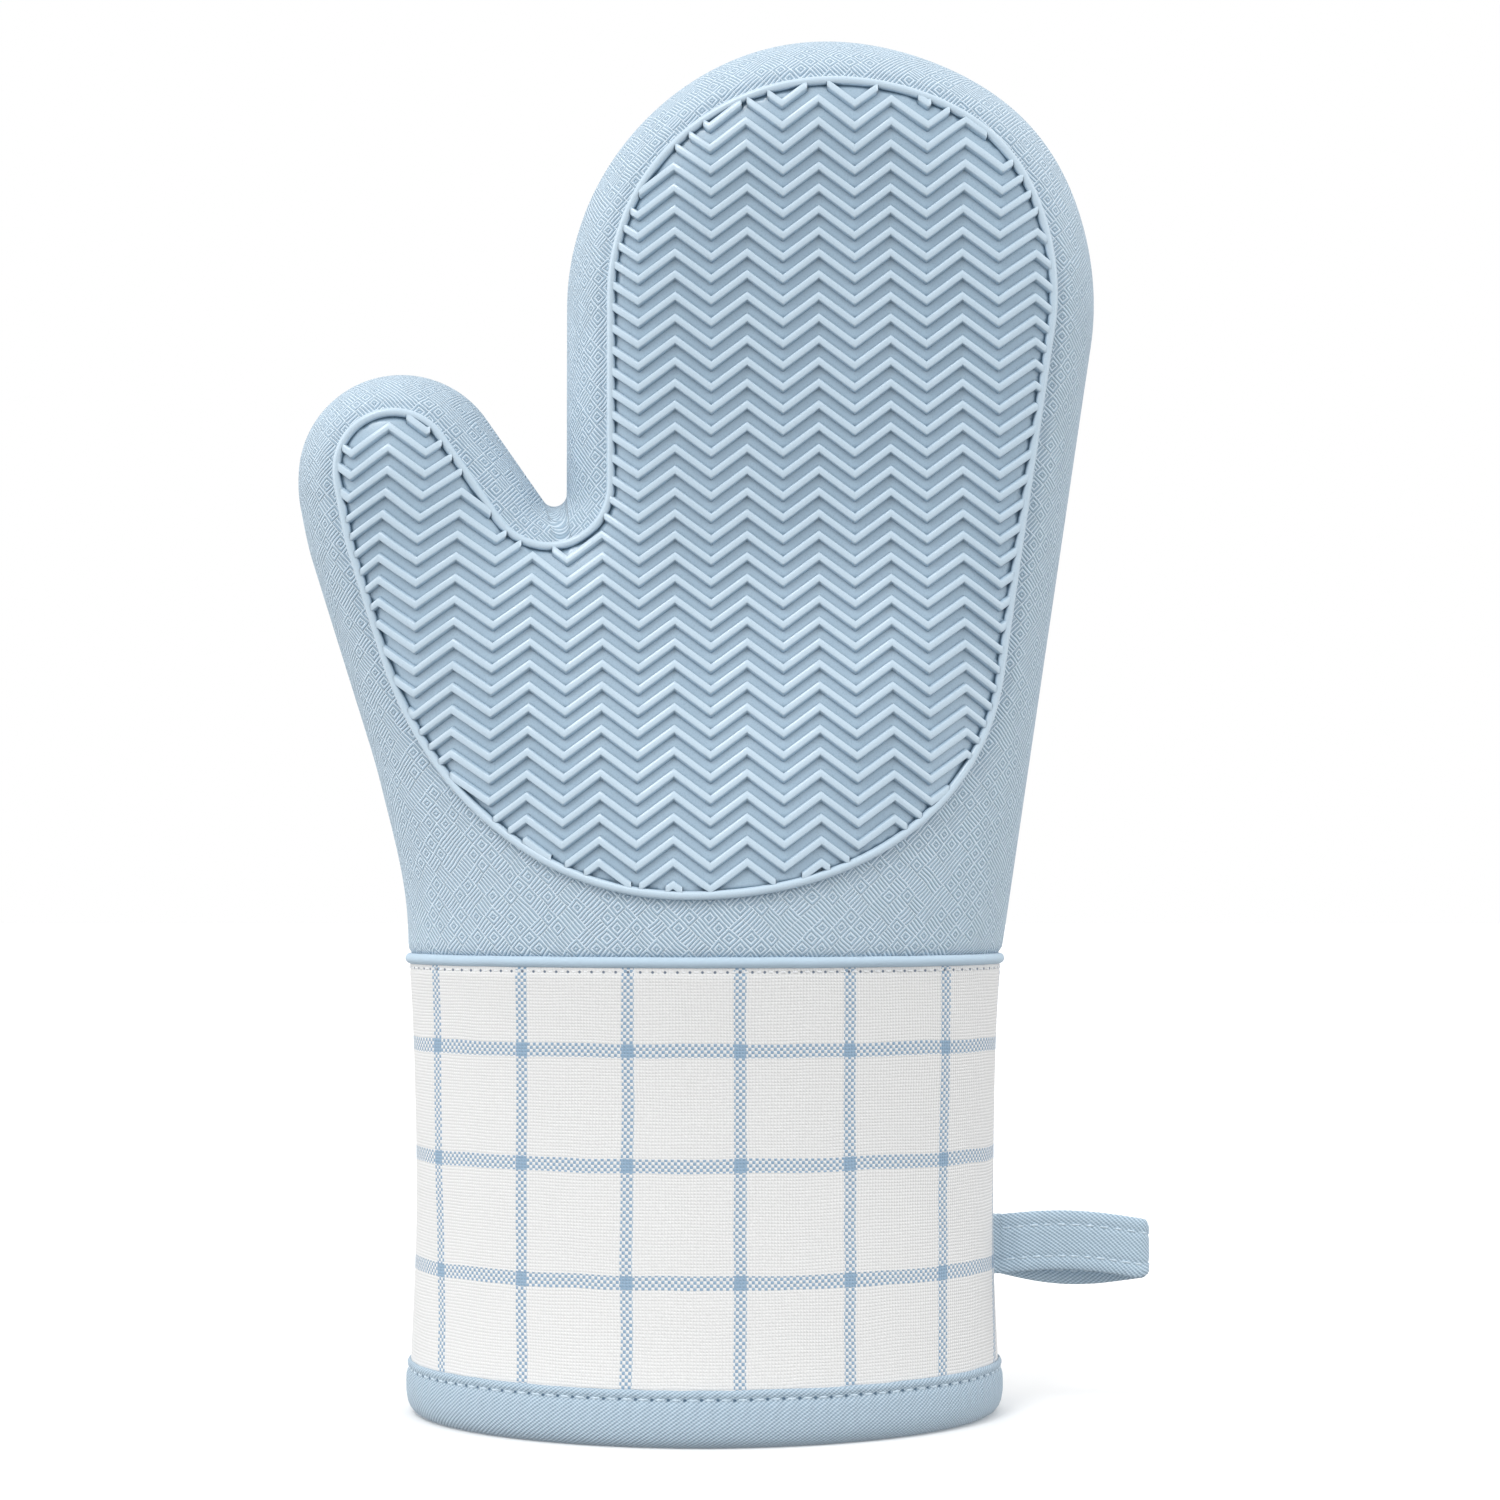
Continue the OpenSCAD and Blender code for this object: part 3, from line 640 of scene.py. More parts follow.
def twill(name, dark, light, pitch, bump, sheen, hole_pitch=0.0, hole_row=0.0):
    """Fine twill tape: close diagonal ribs, and needle holes where a stitch row runs."""
    m = Paint(name)
    x, y = m.cloth()
    steep = y * 1.35
    weave = m.lines(x + steep, pitch) * 0.7 + m.lines(steep - x, pitch * 0.8) * 0.3
    fuzz = m.noise(m.join(x, y), 2.0, 4.0, 0.65)
    tone = m.mix(weave, dark, light)
    tone = m.mix(m.range(fuzz, 0.35, 0.7, 0.0, 0.18), tone, light)
    if hole_pitch:
        # painted shade: the needle holes of the stitch row are painted dark
        tone = m.mix(m.holes(x, y, hole_pitch, hole_row, 0.48), tone, (0.10, 0.17, 0.25))
    return m.finish(tone, m.range(fuzz, 0.2, 0.8, 0.70, 0.85), weave + fuzz * 0.6, bump,
                    sheen_weight=sheen, sheen_roughness=0.45, specular_ior_level=0.3)


def plain_cotton(name, dark, light):
    """Plain cotton weave."""
    m = Paint(name)
    x, y = m.cloth()
    over = m.wave(x, 0.7) * m.wave(y, 0.7)
    fuzz = m.noise(m.join(x, y), 1.5, 4.0, 0.65)
    tone = m.mix(m.range(over, -1.0, 1.0), dark, light)
    tone = m.mix(m.range(fuzz, 0.3, 0.7, 0.0, 0.3), tone, light)
    return m.finish(tone, 0.9, over + fuzz, 0.08, sheen_weight=0.1, specular_ior_level=0.2)


def loose_fibre(name, dark, light, scale, bump):
    """Matt fibres with no weave, for the padding and the cord inside the piping."""
    m = Paint(name)
    fuzz = m.noise(m.place(), scale, 6.0, 0.7)
    tone = m.mix(m.range(fuzz, 0.3, 0.7), dark, light)
    return m.finish(tone, m.range(fuzz, 0.3, 0.7, 0.85, 0.97), fuzz, bump, sheen_weight=0.3,
                    specular_ior_level=0.1)


def sewing_thread(name, dark, light):
    """Twisted thread."""
    m = Paint(name)
    twist = m.noise(m.place(), 3000.0, 2.0, 0.5)
    tone = m.mix(m.range(twist, 0.35, 0.65), dark, light)
    return m.finish(tone, m.range(twist, 0.3, 0.7, 0.50, 0.70), twist, 0.05, sheen_weight=0.2,
                    specular_ior_level=0.4)


HAND_CLOTH = hand_cloth()
SILICONE = silicone()
TAPE_DARK, TAPE_LIGHT = (0.215, 0.310, 0.400), (0.535, 0.650, 0.750)
LOOP_TAPE = twill("loop_tape", (0.240, 0.350, 0.450), (0.620, 0.755, 0.870), 1.25, 0.16, 0.15)
PIPING_CLOTH = twill("piping_cloth", (0.430, 0.560, 0.675), (0.520, 0.650, 0.760), 0.45, 0.04, 0.2)
LINING = plain_cotton("lining_cotton", (0.66, 0.65, 0.61), (0.80, 0.79, 0.75))
BATTING = loose_fibre("padding", (0.74, 0.74, 0.73), (0.86, 0.86, 0.85), 900.0, 0.4)
CORE = loose_fibre("piping_core", (0.62, 0.60, 0.55), (0.76, 0.74, 0.69), 1500.0, 0.2)
BLUE_THREAD = sewing_thread("thread_blue", (0.48, 0.60, 0.70), (0.64, 0.75, 0.84))
WHITE_THREAD = sewing_thread("thread_white", (0.70, 0.72, 0.74), (0.84, 0.85, 0.86))

# ---------- the line of the bead round the grip panel ----------

BEAD_EDGE = 12.0
BEAD_R = 1.08
BASE_H = 0.5
RIB_PITCH = 5.146
RIB_PERIOD = 16.93
RIB_RISE = 6.3
RIB_TALL = 2.55
RIB_H = 1.3
RIB_CLEAR = 0.3
RIB_PEAK = (-6.7, 126.1)


def bezier(a, b, c, d, steps):
    k = np.linspace(0, 1, steps)[:, None]
    return (1 - k) ** 3 * a + 3 * (1 - k) ** 2 * k * b + 3 * (1 - k) * k * k * c + k ** 3 * d


def arc_points(c, r, a0, a1, steps):
    return np.array([c + r * unit(mix(a0, a1, i / steps)) for i in range(steps + 1)])


def on_right(z):
    a = BASE_RIGHT - RIGHT_N * BEAD_EDGE
    run = unit(RIGHT_DIR)
    return a + run * ((z - a[1]) / run[1])


def on_left(z):
    a = SIDE_TOP - OUTER_N * BEAD_EDGE
    run = unit(90 + OUTER_LEAN)
    return a + run * ((z - a[1]) / run[1])


def evenly(points, spacing):
    """The same closed line with its points at an even spacing."""
    closed = np.concatenate([points, points[:1]])
    run = np.concatenate([[0], np.cumsum(np.linalg.norm(np.diff(closed, axis=0), axis=1))])
    count = int(round(run[-1] / spacing))
    at = np.linspace(0, run[-1], count, endpoint=False)
    return np.stack([np.interp(at, run, closed[:, 0]), np.interp(at, run, closed[:, 1])], 1)


def finger_bead(steps):
    """The bead round the fingers: further from the edge at the top."""
    angles = np.linspace(180, RIGHT_DIR - 90, steps)
    inset = BEAD_EDGE + 2.2 * np.exp(-((angles - 97) / 38) ** 2)
    turn = np.radians(angles)
    return FINGER_C + (FINGER_R - inset)[:, None] * np.stack([np.cos(turn), np.sin(turn)], 1)


LOW = np.array([-3.0, 123.7])
BEAD_LINE = evenly(np.concatenate([
    arc_points(THUMB_C, THUMB_R - BEAD_EDGE, 180 + OUTER_LEAN, INNER_LEAN, 40),
    arc_points(CROTCH_C, CROTCH_R + BEAD_EDGE, 180 + INNER_LEAN, 360, 40),
    finger_bead(121),
    bezier(on_right(176), on_right(144), LOW + [39, 0], LOW, 80),
    bezier(LOW, LOW - [36, 0], on_left(148), on_left(182), 80)[1:],
]), 1.1)


# ---------- hand: cloth, lining, seam ----------

BORDER_TURNS = (0, 1, 2.2, 3.8, 6, 9, 12.5, 17, 22, 28, 34, 40, 45, 48.5, 51, 53, 55, 57, 59, 61, 64,
                68, 75, 82, 90)
INNER_STEPS = 14


def spoke_distances(length):
    """Distances from the edge along a spoke: close where the border turns, then even."""
    near = min(24.0, 0.95 * length)
    turn = np.radians(BORDER_TURNS)
    border = near * (1 - np.clip(np.cos(turn), 0, 1) ** (2 / POWER))
    rest = np.linspace(near, length, INNER_STEPS + 1)[1:]
    return np.concatenate([border, rest])


def pressed(flat, away):
    """How deep the cloth sinks just outside the bead, where the panel is sewn down."""
    near_bead = np.exp(-((line_gap(flat, BEAD_LINE) - 2.0) / 1.4) ** 2)
    return 0.85 * near_bead * ease((17 - away) / 3)


def hand_grid(inset):
    """Rows of points from the outline to the middle of the hand, and their cloth coordinates."""
    rows, cloth = [], []
    for edge, normal, middle in zip(EDGE, EDGE_N, MIDDLE):
        start = edge - normal * inset
        run = middle - start
        length = np.hypot(*run)
        away = spoke_distances(length)
        flat = start + run / length * away[:, None]
        y = depth(flat, inset) - pressed(flat, away) if inset == 0 else plain_depth(flat, inset)
        y[0] = 0
        point = np.stack([flat[:, 0], -y, flat[:, 1]], 1)
        step3 = np.linalg.norm(np.diff(point, axis=0), axis=1)
        step2 = np.linalg.norm(np.diff(flat, axis=0), axis=1)
        spare = np.concatenate([np.cumsum((step3 - step2)[::-1])[::-1], [0]])
        rows.append(point)
        cloth.append(flat + normal * spare[:, None])
    return np.array(rows), np.array(cloth)


def tucked(points):
    """Draws the lowest rows in towards the seam with the cuff."""
    low = np.clip((HAND_BASE + 2.2 - points[:, 2]) / 2.2, 0, 1) ** 2
    made = points.copy()
    made[:, :2] *= (1 - 0.013 * low)[:, None]
    return made


def seam_groove(points, normals, depth_mm=0.6, width=0.55):
    """Pulls the cloth in along the side seam."""
    pull = depth_mm * np.exp(-(points[:, 1] / width) ** 2)
    made = points.copy()
    made[:, 0] -= normals[:, 0] * pull
    made[:, 2] -= normals[:, 1] * pull
    return made


SIDE_SWELL = 1.75
SHOULDER_SWELL, SHOULDER_AT, SHOULDER_SPREAD = 1.9, 42, 24
CROWN_SWELL, CROWN_AT, CROWN_SPREAD = 1.15, 100, 30


def bump_at(angle, at, spread):
    """A smooth bump round one angle, in degrees."""
    return np.exp(-((angle - at) / spread) ** 2)


def fuller(points):
    """Lets the padding push out the thumb's outer side, and the shoulder and crown of the fingers."""
    x, z = points[:, 0], points[:, 2]
    side = SIDE_SWELL * ease((z - 116) / 34) * ease((226 - z) / 22) * ease((-x - 40) / 35)
    v = np.stack([x, z], 1) - FINGER_C
    r = np.hypot(v[:, 0], v[:, 1])
    angle = np.degrees(np.arctan2(v[:, 1], v[:, 0]))
    shoulder = (SHOULDER_SWELL * bump_at(angle, SHOULDER_AT, SHOULDER_SPREAD)
                + CROWN_SWELL * bump_at(angle, CROWN_AT, CROWN_SPREAD))
    shoulder *= ease((r - 28) / 34)
    made = points.copy()
    made[:, 0] += shoulder * v[:, 0] / np.maximum(r, 1) - side
    made[:, 2] += shoulder * v[:, 1] / np.maximum(r, 1)
    return made


def hand_half(outer_inset, inner_inset):
    """One half of a layer of the hand, as points, faces and cloth coordinates."""
    outer, cloth = hand_grid(outer_inset)
    inner, _ = hand_grid(inner_inset)
    rows, cols = outer.shape[:2]
    faces = grid_faces(rows, cols)
    normals = np.repeat(EDGE_N, cols, axis=0)
    outer, inner, cloth = outer.reshape(-1, 3), inner.reshape(-1, 3), cloth.reshape(-1, 2)
    if outer_inset == 0:
        outer = tucked(seam_groove(outer, normals))
    outer, faces, inner, cloth = welded(outer, faces, inner, cloth)
    points, faces = thicken(fuller(outer), fuller(inner), faces)
    return points, faces, np.concatenate([cloth, cloth])


def fit_to_hand(whole):
    """Splits a piece at the thumb, and bakes the transforms of both parts."""
    pieces = split_at_thumb(whole)
    bend(*pieces)
    return pieces


def hand_layer(name, shape, material, on_back, nodes, thumb_nodes=()):
    points, faces, cloth = shape
    if on_back:
        points, faces = mirrored(points, faces)
    hand, thumb = fit_to_hand(make_object(name, points, faces, material, cloth))
    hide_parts(*nodes)
    if thumb_nodes:
        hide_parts(*thumb_nodes)
    return hand, thumb


cloth_shape = hand_half(0.0, 8.6)
for side, on_back in (("palm", False), ("back", True)):
    end = "back" if on_back else "front"
    pieces = hand_layer(
        f"{side}_cloth", cloth_shape, HAND_CLOTH, on_back,
        [f"{side}_side_shell", f"palm_padding_{end}", f"finger_padding_{end}"],
        [f"thumb_padding_{end}"])

lining_shape = hand_half(10.0, 10.8)
for side, on_back in (("palm", False), ("back", True)):
    hand_layer(f"{side}_lining", lining_shape, LINING, on_back,
               [f"{side}_side_lining"])


def tube(centres, across, up, radius, sides, closed):
    """A tube round a path: across and up are the directions of its section."""
    turn = np.linspace(0, 2 * math.pi, sides, endpoint=False)
    ring = (across[:, None] * np.cos(turn)[None, :, None] + up[:, None] * np.sin(turn)[None, :, None])
    points = centres[:, None] + radius * ring
    n = len(centres)
    faces = grid_faces(n, sides, True, True) if closed else tube_faces(n, sides)
    return points.reshape(-1, 3), faces


def seam_thread():
    """The thread that closes the hand's seam, inside the cloth."""
    flat = EDGE - EDGE_N * 5.0
    centres = np.stack([flat[:, 0], np.zeros(len(flat)), flat[:, 1]], 1)
    across = np.stack([EDGE_N[:, 0], np.zeros(len(flat)), EDGE_N[:, 1]], 1)
    up = np.tile([0.0, 1.0, 0.0], (len(flat), 1))
    points, faces = tube(centres, across, up, 0.42, 8, False)
    whole = make_object("seam_thread", fuller(points), flipped(faces), BLUE_THREAD)
    hand, _ = fit_to_hand(whole)
    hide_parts("hand_seam_thread")


seam_thread()

# ---------- grip panels ----------

def join_parts(parts):
    points, faces, start = [], [], 0
    for p, f in parts:
        points.append(p)
        faces += [tuple(i + start for i in face) for face in f]
        start += len(p)
    return np.concatenate(points), faces


def bead():
    at, normal = on_surface(BEAD_LINE, BEAD_R - 0.15)
    along = np.roll(at, -1, axis=0) - np.roll(at, 1, axis=0)
    along /= np.linalg.norm(along, axis=1)[:, None]
    across = np.cross(normal, along)
    return tube(at, across, normal, BEAD_R, 14, True)


def grip_base():
    """The panel's skin inside the bead, from points on a fine mesh."""
    spacing = 1.9
    x = np.arange(-90, 90, spacing)
    z = np.arange(120, 322, spacing * 0.866)
    gx, gz = np.meshgrid(x, z)
    gx = gx + (np.arange(len(z)) % 2)[:, None] * spacing / 2
    inner = np.stack([gx.ravel(), gz.ravel()], 1)
    inner = inner[inside(inner, BEAD_LINE)]
    inner = inner[line_gap(inner, BEAD_LINE) > 0.9]
    n = len(BEAD_LINE)
    flat = [Vector(p) for p in np.concatenate([BEAD_LINE, inner])]
    edges = [(i, (i + 1) % n) for i in range(n)]
    verts, _, faces = delaunay_2d_cdt(flat, edges, [], 1, 1e-6, False)[:3]
    flat = np.array([tuple(v) for v in verts])
    centres = np.array([flat[list(f)].mean(0) for f in faces])
    kept = [tuple(f) for f, ok in zip(faces, inside(centres, BEAD_LINE)) if ok]
    top, _ = on_surface(flat, BASE_H)
    bottom, _ = on_surface(flat, 0.06)
    return thicken(top, bottom, kept)


RIB_SECTION = ((-1.0, -0.35), (-1.0, 0.08), (-0.97, 0.20), (-0.76, 0.84), (-0.70, 0.94), (-0.58, 1.0),
               (0.0, 1.02), (0.56, 1.0), (0.67, 0.94), (0.73, 0.84), (0.97, 0.20), (1.0, 0.08),
               (1.0, -0.35))


def room_grid():
    """How far inside the bead's line each point of a 1 mm grid lies."""
    x, z = np.meshgrid(np.arange(GRID_SIZE[0]), np.arange(GRID_SIZE[1]), indexing="ij")
    p = np.stack([x.ravel(), z.ravel()], 1) + GRID_LOW
    gap = np.concatenate([line_gap(q, BEAD_LINE) for q in np.array_split(p, 40)])
    return np.where(inside(p, BEAD_LINE), gap, -gap).reshape(GRID_SIZE)


ROOM = room_grid()


def room(p):
    q = p - GRID_LOW
    i = np.floor(q).astype(int)
    t = q - i
    ix, iz = np.clip(i[..., 0], 0, GRID_SIZE[0] - 2), np.clip(i[..., 1], 0, GRID_SIZE[1] - 2)
    low = mix(ROOM[ix, iz], ROOM[ix + 1, iz], t[..., 0])
    high = mix(ROOM[ix, iz + 1], ROOM[ix + 1, iz + 1], t[..., 0])
    return mix(low, high, t[..., 1])


def zigzag(x):
    turn = ((x - RIB_PEAK[0]) / RIB_PERIOD) % 1.0
    return RIB_RISE * (np.abs(turn - 0.5) * 2 - 1.0)


def rib_positions(first, last, corners):
    """Places along a rib: its ends, its corners, and close steps where the bead trims it."""
    close = [first + 0.5, first + 1.0, first + 1.7, first + 2.5, last - 2.5, last - 1.7, last - 1.0,
             last - 0.5]
    here = corners[(corners > first + 0.2) & (corners < last - 0.2)]
    extra = np.array([x for x in [*close, *np.arange(first + 4, last - 4, 2.0)] if first < x < last])
    if len(here):
        extra = extra[np.abs(extra[:, None] - here).min(1) > 0.3]
    return np.unique(np.round(np.concatenate([[first], extra, here, [last]]), 4))


def rib(row, first, last, corners, shares):
    """One rib between two places, trimmed above and below where the bead cuts across it."""
    x = rib_positions(first, last, corners)
    z = RIB_PEAK[1] + row * RIB_PITCH + zigzag(x)
    half = RIB_TALL / 2
    free = room(np.stack([x[:, None] + 0 * shares, z[:, None] + shares * half], -1)) > RIB_CLEAR
    low = np.where(free.any(1), shares[np.argmax(free, 1)], 0.0)
    high = np.where(free.any(1), shares[::-1][np.argmax(free[:, ::-1], 1)], 0.0)
    grid = []
    for side, rise in RIB_SECTION:
        at, _ = on_surface(np.stack([x, z + np.clip(side, low, high) * half], 1), BASE_H + rise * RIB_H)
        grid.append(at)
    grid = np.stack(grid, 1)
    return grid.reshape(-1, 3), flipped(tube_faces(*grid.shape[:2]))


def ribs():
    """Chevron ribs, row by row, each running into the bead."""
    parts = []
    corners = np.arange(-12, 14) * RIB_PERIOD / 2 + RIB_PEAK[0]
    fine = np.arange(-92, 92, 0.2)
    shares = np.linspace(-1, 1, 21)
    for row in range(-1, 40):
        centre = RIB_PEAK[1] + row * RIB_PITCH + zigzag(fine)
        grid = np.stack([fine[:, None] + 0 * shares, centre[:, None] + shares * RIB_TALL / 2], -1)
        free = (room(grid) > RIB_CLEAR).sum(1) > 14
        edges = np.flatnonzero(np.diff(np.concatenate([[0], free.astype(int), [0]])))
        for a, b in zip(edges[::2], edges[1::2]):
            if fine[b - 1] - fine[a] > 2.0:
                parts.append(rib(row, fine[a], fine[b - 1], corners, shares))
    return join_parts(parts)


grip_points, grip_faces = join_parts([bead(), grip_base(), ribs()])
# height above the panel's skin, as a share of a rib's height: the silicone reads it to paint its painted
# highlight on the ribs
rise = (-grip_points[:, 1] - depth(grip_points[:, [0, 2]]) - BASE_H) / RIB_H
rise = np.stack([np.clip(rise, 0, 1), np.zeros(len(rise))], 1)
grip_points = fuller(grip_points)
for side, on_back in (("palm", False), ("back", True)):
    points, faces = mirrored(grip_points, grip_faces) if on_back else (grip_points, grip_faces)
    whole = make_object(f"{side}_grip", points, faces, SILICONE, rise)
    hand, _ = fit_to_hand(whole)
    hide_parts(f"{side}_grip_panel")

# ---------- cuff ----------


def cuff_w(z):
    high = mix(WAIST_W, SEAM_W, ((z - WAIST_Z) / (SEAM_Z - WAIST_Z)) ** 2)
    low = mix(WAIST_W, HEM_W, ((WAIST_Z - z) / WAIST_Z) ** 2)
    return np.where(z > WAIST_Z, high, low)


def cuff_d(z):
    return mix(SEAM_D, HEM_D, ((SEAM_Z - z) / SEAM_Z) ** 2)


def cuff_point(angle, z, inset):
    """Points of the cuff from the angle round it, the height, and the inset below the outside."""
    c, s = np.cos(angle), np.sin(angle)
    w, d = cuff_w(np.minimum(z, SEAM_Z)), cuff_d(np.minimum(z, SEAM_Z))
    return np.stack([(w - inset) * np.sign(c) * np.abs(c) ** (2 / POWER),
                     (d - inset) * np.sign(s) * np.abs(s) ** (2 / POWER), z + 0 * angle], -1)


def round_lengths(z, count=1440):
    """Length along the cloth from the front's middle, as a table over the angle."""
    angle = np.linspace(0, 2 * math.pi, count + 1)
    at = cuff_point(angle, np.full(count + 1, z), 0.0)
    run = np.concatenate([[0], np.cumsum(np.linalg.norm(np.diff(at, axis=0), axis=1))])
    return angle, run


def cloth_length(angle, z):
    table_angle, run = round_lengths(z)
    middle = np.interp(1.5 * math.pi, table_angle, run)
    return np.interp(angle, table_angle, run) - middle


def even_angles(a0, a1, count, z=SEAM_Z / 2):
    """Angles whose points lie evenly along the cuff."""
    table_angle, run = round_lengths(z)
    low, high = np.interp([a0, a1], table_angle, run)
    return np.interp(np.linspace(low, high, count), run, table_angle)


TOP_STITCH_Z = 106.2
TOP_PITCH = 2.85


def stitch_count(z, pitch):
    """Stitches round the cuff, the same number in each quarter, and their true pitch."""
    length = round_lengths(z)[1][-1]
    count = 4 * round(length / (4 * pitch))
    return count, length / count


def cuff_inset(angle, z):
    """How far the cloth sinks: at the side seams, under the piping and along the top stitches."""
    to_side = np.minimum(np.abs(np.sin(angle)), 1.0) * cuff_d(z)
    seam = 0.55 * np.exp(-(to_side / 1.4) ** 2)
    tuck = 0.5 * np.clip((z - 106.6) / 0.8, 0, 1) ** 2
    pinch = 0.25 * np.exp(-((z - TOP_STITCH_Z) / 0.6) ** 2)
    swell = -0.30 * np.sin(2.3 * angle + 0.04 * z) * np.sin(0.055 * z + 1.0)
    return seam + tuck + pinch + swell


def cuff_sheet(outer_inset, inner_inset, z_levels, count, shaped):
    """Half of a cuff layer, on the palm side."""
    angles = even_angles(math.pi, 2 * math.pi, count)
    z, angle = np.meshgrid(z_levels, angles, indexing="ij")
    sink = cuff_inset(angle, z) if shaped else 0.0
    outer, inner = (cuff_point(angle, z, inset + sink).reshape(-1, 3)
                    for inset in (outer_inset, inner_inset))
    along = np.array([cloth_length(angles, float(level)) for level in z_levels])
    cloth = np.stack([along, z], -1).reshape(-1, 2)
    points, faces = thicken(outer, inner, flipped(grid_faces(len(z_levels), count)))
    return points, faces, np.concatenate([cloth, cloth])


CUFF_LEVELS = np.concatenate([np.linspace(5.0, 99.0, 50), np.linspace(99.6, 107.2, 20)])
LINING_LEVELS = np.linspace(4.6, 106.4, 36)


def cuff_layer(name, shape, material, nodes):
    made = []
    for end, on_back in (("front", False), ("back", True)):
        points, faces, cloth = shape
        if on_back:
            points, faces = mirrored(points, faces)
        piece = make_object(f"{name}_{end}", points, faces, material, cloth)
        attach(piece, "hand_and_cuff")
        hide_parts(*[n + end for n in nodes])
        made.append(piece)
    return made


CHECK_CLOTH = check_cloth(stitch_count(TOP_STITCH_Z, TOP_PITCH)[1])
half_round = float(np.ptp(cloth_length(np.array([math.pi, 2 * math.pi]), 54.0)))
for piece in cuff_layer("cuff_check", cuff_sheet(0.0, CUFF_CLOTH, CUFF_LEVELS, 260, True),
                        CHECK_CLOTH, ["cuff_cloth_"]):
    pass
for piece in cuff_layer("cuff_batting", cuff_sheet(1.5, 4.1, LINING_LEVELS, 120, False), BATTING,
                        ["cuff_padding_"]):
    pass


def cuff_lining_shape():
    """The cuff's lining, drawn in at the top to meet the lining of the hand."""
    levels = np.concatenate([LINING_LEVELS, [107.4, 108.6, 109.8, 111.2, 113.0]])
    points, faces, cloth = cuff_sheet(CUFF_LINING_IN, CUFF_INNER, levels, 120, False)
    draw = ease((points[:, 2] - 105.0) / 7.0) * 6.2
    x, y = points[:, 0], points[:, 1]
    scale_x = 1 - draw / SEAM_W
    scale_y = 1 - draw / SEAM_D
    return np.stack([x * scale_x, y * scale_y, points[:, 2]], 1), faces, cloth


cuff_layer("cuff_lining_cloth", cuff_lining_shape(), LINING, ["cuff_lining_"])


def girth(section):
    """Length along a cross-section up to each of its points."""
    return np.concatenate([[0], np.cumsum(np.linalg.norm(np.diff(np.array(section), axis=0), axis=1))])


def ring(section, count, wobble):
    """A closed cross-section of (inset, height) points, swept right round the cuff."""
    angles = even_angles(0.0, 2 * math.pi, count + 1)[:-1]
    points = wobble(np.tile(np.array(section, float), (count, 1, 1)), angles)
    m = len(section)
    at = cuff_point(np.repeat(angles, m), points[:, :, 1].ravel(), points[:, :, 0].ravel())
    run = cloth_length(angles, 10.0)
    cloth = np.stack([np.repeat(run, m), np.tile(girth(section), count)], 1)
    return at, grid_faces(count, m, wrap_rows=True, wrap_cols=True), cloth


HEM_SECTION = [
    (-0.15, HEM_H - 0.25), (-0.45, HEM_H), (-0.80, HEM_H - 0.2), (-1.05, HEM_H - 0.7),
    (-0.98, HEM_H - 1.4), (-0.50, HEM_H - 2.1), (-0.85, HEM_H - 2.8), (-1.05, HEM_H - 3.8),
    (-1.12, HEM_H - 5.4), (-1.10, HEM_H - 7.4), (-0.95, 4.4), (-0.62, 3.0), (-0.05, 1.8),
    (0.75, 0.85), (1.8, 0.25), (3.0, 0.0), (4.4, 0.0), (5.6, 0.3), (6.35, 1.1), (6.7, 2.4),
    (6.7, 5.0), (6.6, 8.0), (6.2, HEM_H - 3.6), (6.5, HEM_H - 2.4), (6.1, HEM_H - 1.5),
    (5.35, HEM_H - 1.7), (5.35, 4.5), (5.1, 2.0), (3.2, 1.4), (1.2, 2.2), (-0.05, 4.8),
]
HEM_VALLEY = 5
HEM_STITCH = 3.7


def hem_wobble(points, angles):
    """Small puckers under each stitch, and a slow wave in the edges."""
    run = cloth_length(angles, 10.0)
    jitter = np.interp(run, np.linspace(run.min(), run.max(), 97), rng.uniform(-1, 1, 97))
    pitch = stitch_count(HEM_H - 2.1, HEM_STITCH)[1]
    pucker = np.cos(2 * math.pi * run / pitch + 0.5 * jitter) * (0.75 + 0.25 * jitter)
    made = points.copy()
    outer = points[:, :, 0] < 0
    near = np.exp(-((points[:, :, 1] - (HEM_H - 3.6)) / 2.6) ** 2)
    made[:, :, 0] += np.where(outer, 0.24 * near * pucker[:, None], 0)
    made[:, :, 1] += np.where(points[:, :, 1] > HEM_H - 3.0, 0.10 * jitter[:, None], 0)
    return made


HEM_TAPE = twill("hem_tape", TAPE_DARK, TAPE_LIGHT, 1.25, 0.16, 0.15,
                 stitch_count(HEM_H - 2.1, HEM_STITCH)[1], float(girth(HEM_SECTION)[HEM_VALLEY]))
points, faces, cloth = ring(HEM_SECTION, 620, hem_wobble)
hem = make_object("hem_tape_ring", points, flipped(faces), HEM_TAPE, cloth)
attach(hem, "hand_and_cuff")
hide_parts("hem_binding")


def piping_section():
    turn = np.radians(np.linspace(10, 350, 22))
    inset = 0.55 + PIPING_R * np.cos(turn)
    z = PIPING_Z + PIPING_R * np.sin(turn)
    loop = list(zip(inset, z))
    return [(6.6, PIPING_Z + 0.3), *loop, (6.6, PIPING_Z - 0.3)]


def piping_wobble(points, angles):
    run = cloth_length(angles, 10.0)
    soft = np.interp(run, np.linspace(run.min(), run.max(), 61), rng.uniform(-1, 1, 61))
    made = points.copy()
    made[:, 1:-1, 1] += 0.05 * soft[:, None]
    return made


points, faces, cloth = ring(piping_section(), 420, piping_wobble)
piping = make_object("piping_strip", points, faces, PIPING_CLOTH, cloth)
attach(piping, "hand_and_cuff")
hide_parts("piping_cover")

# ---------- stitches ----------


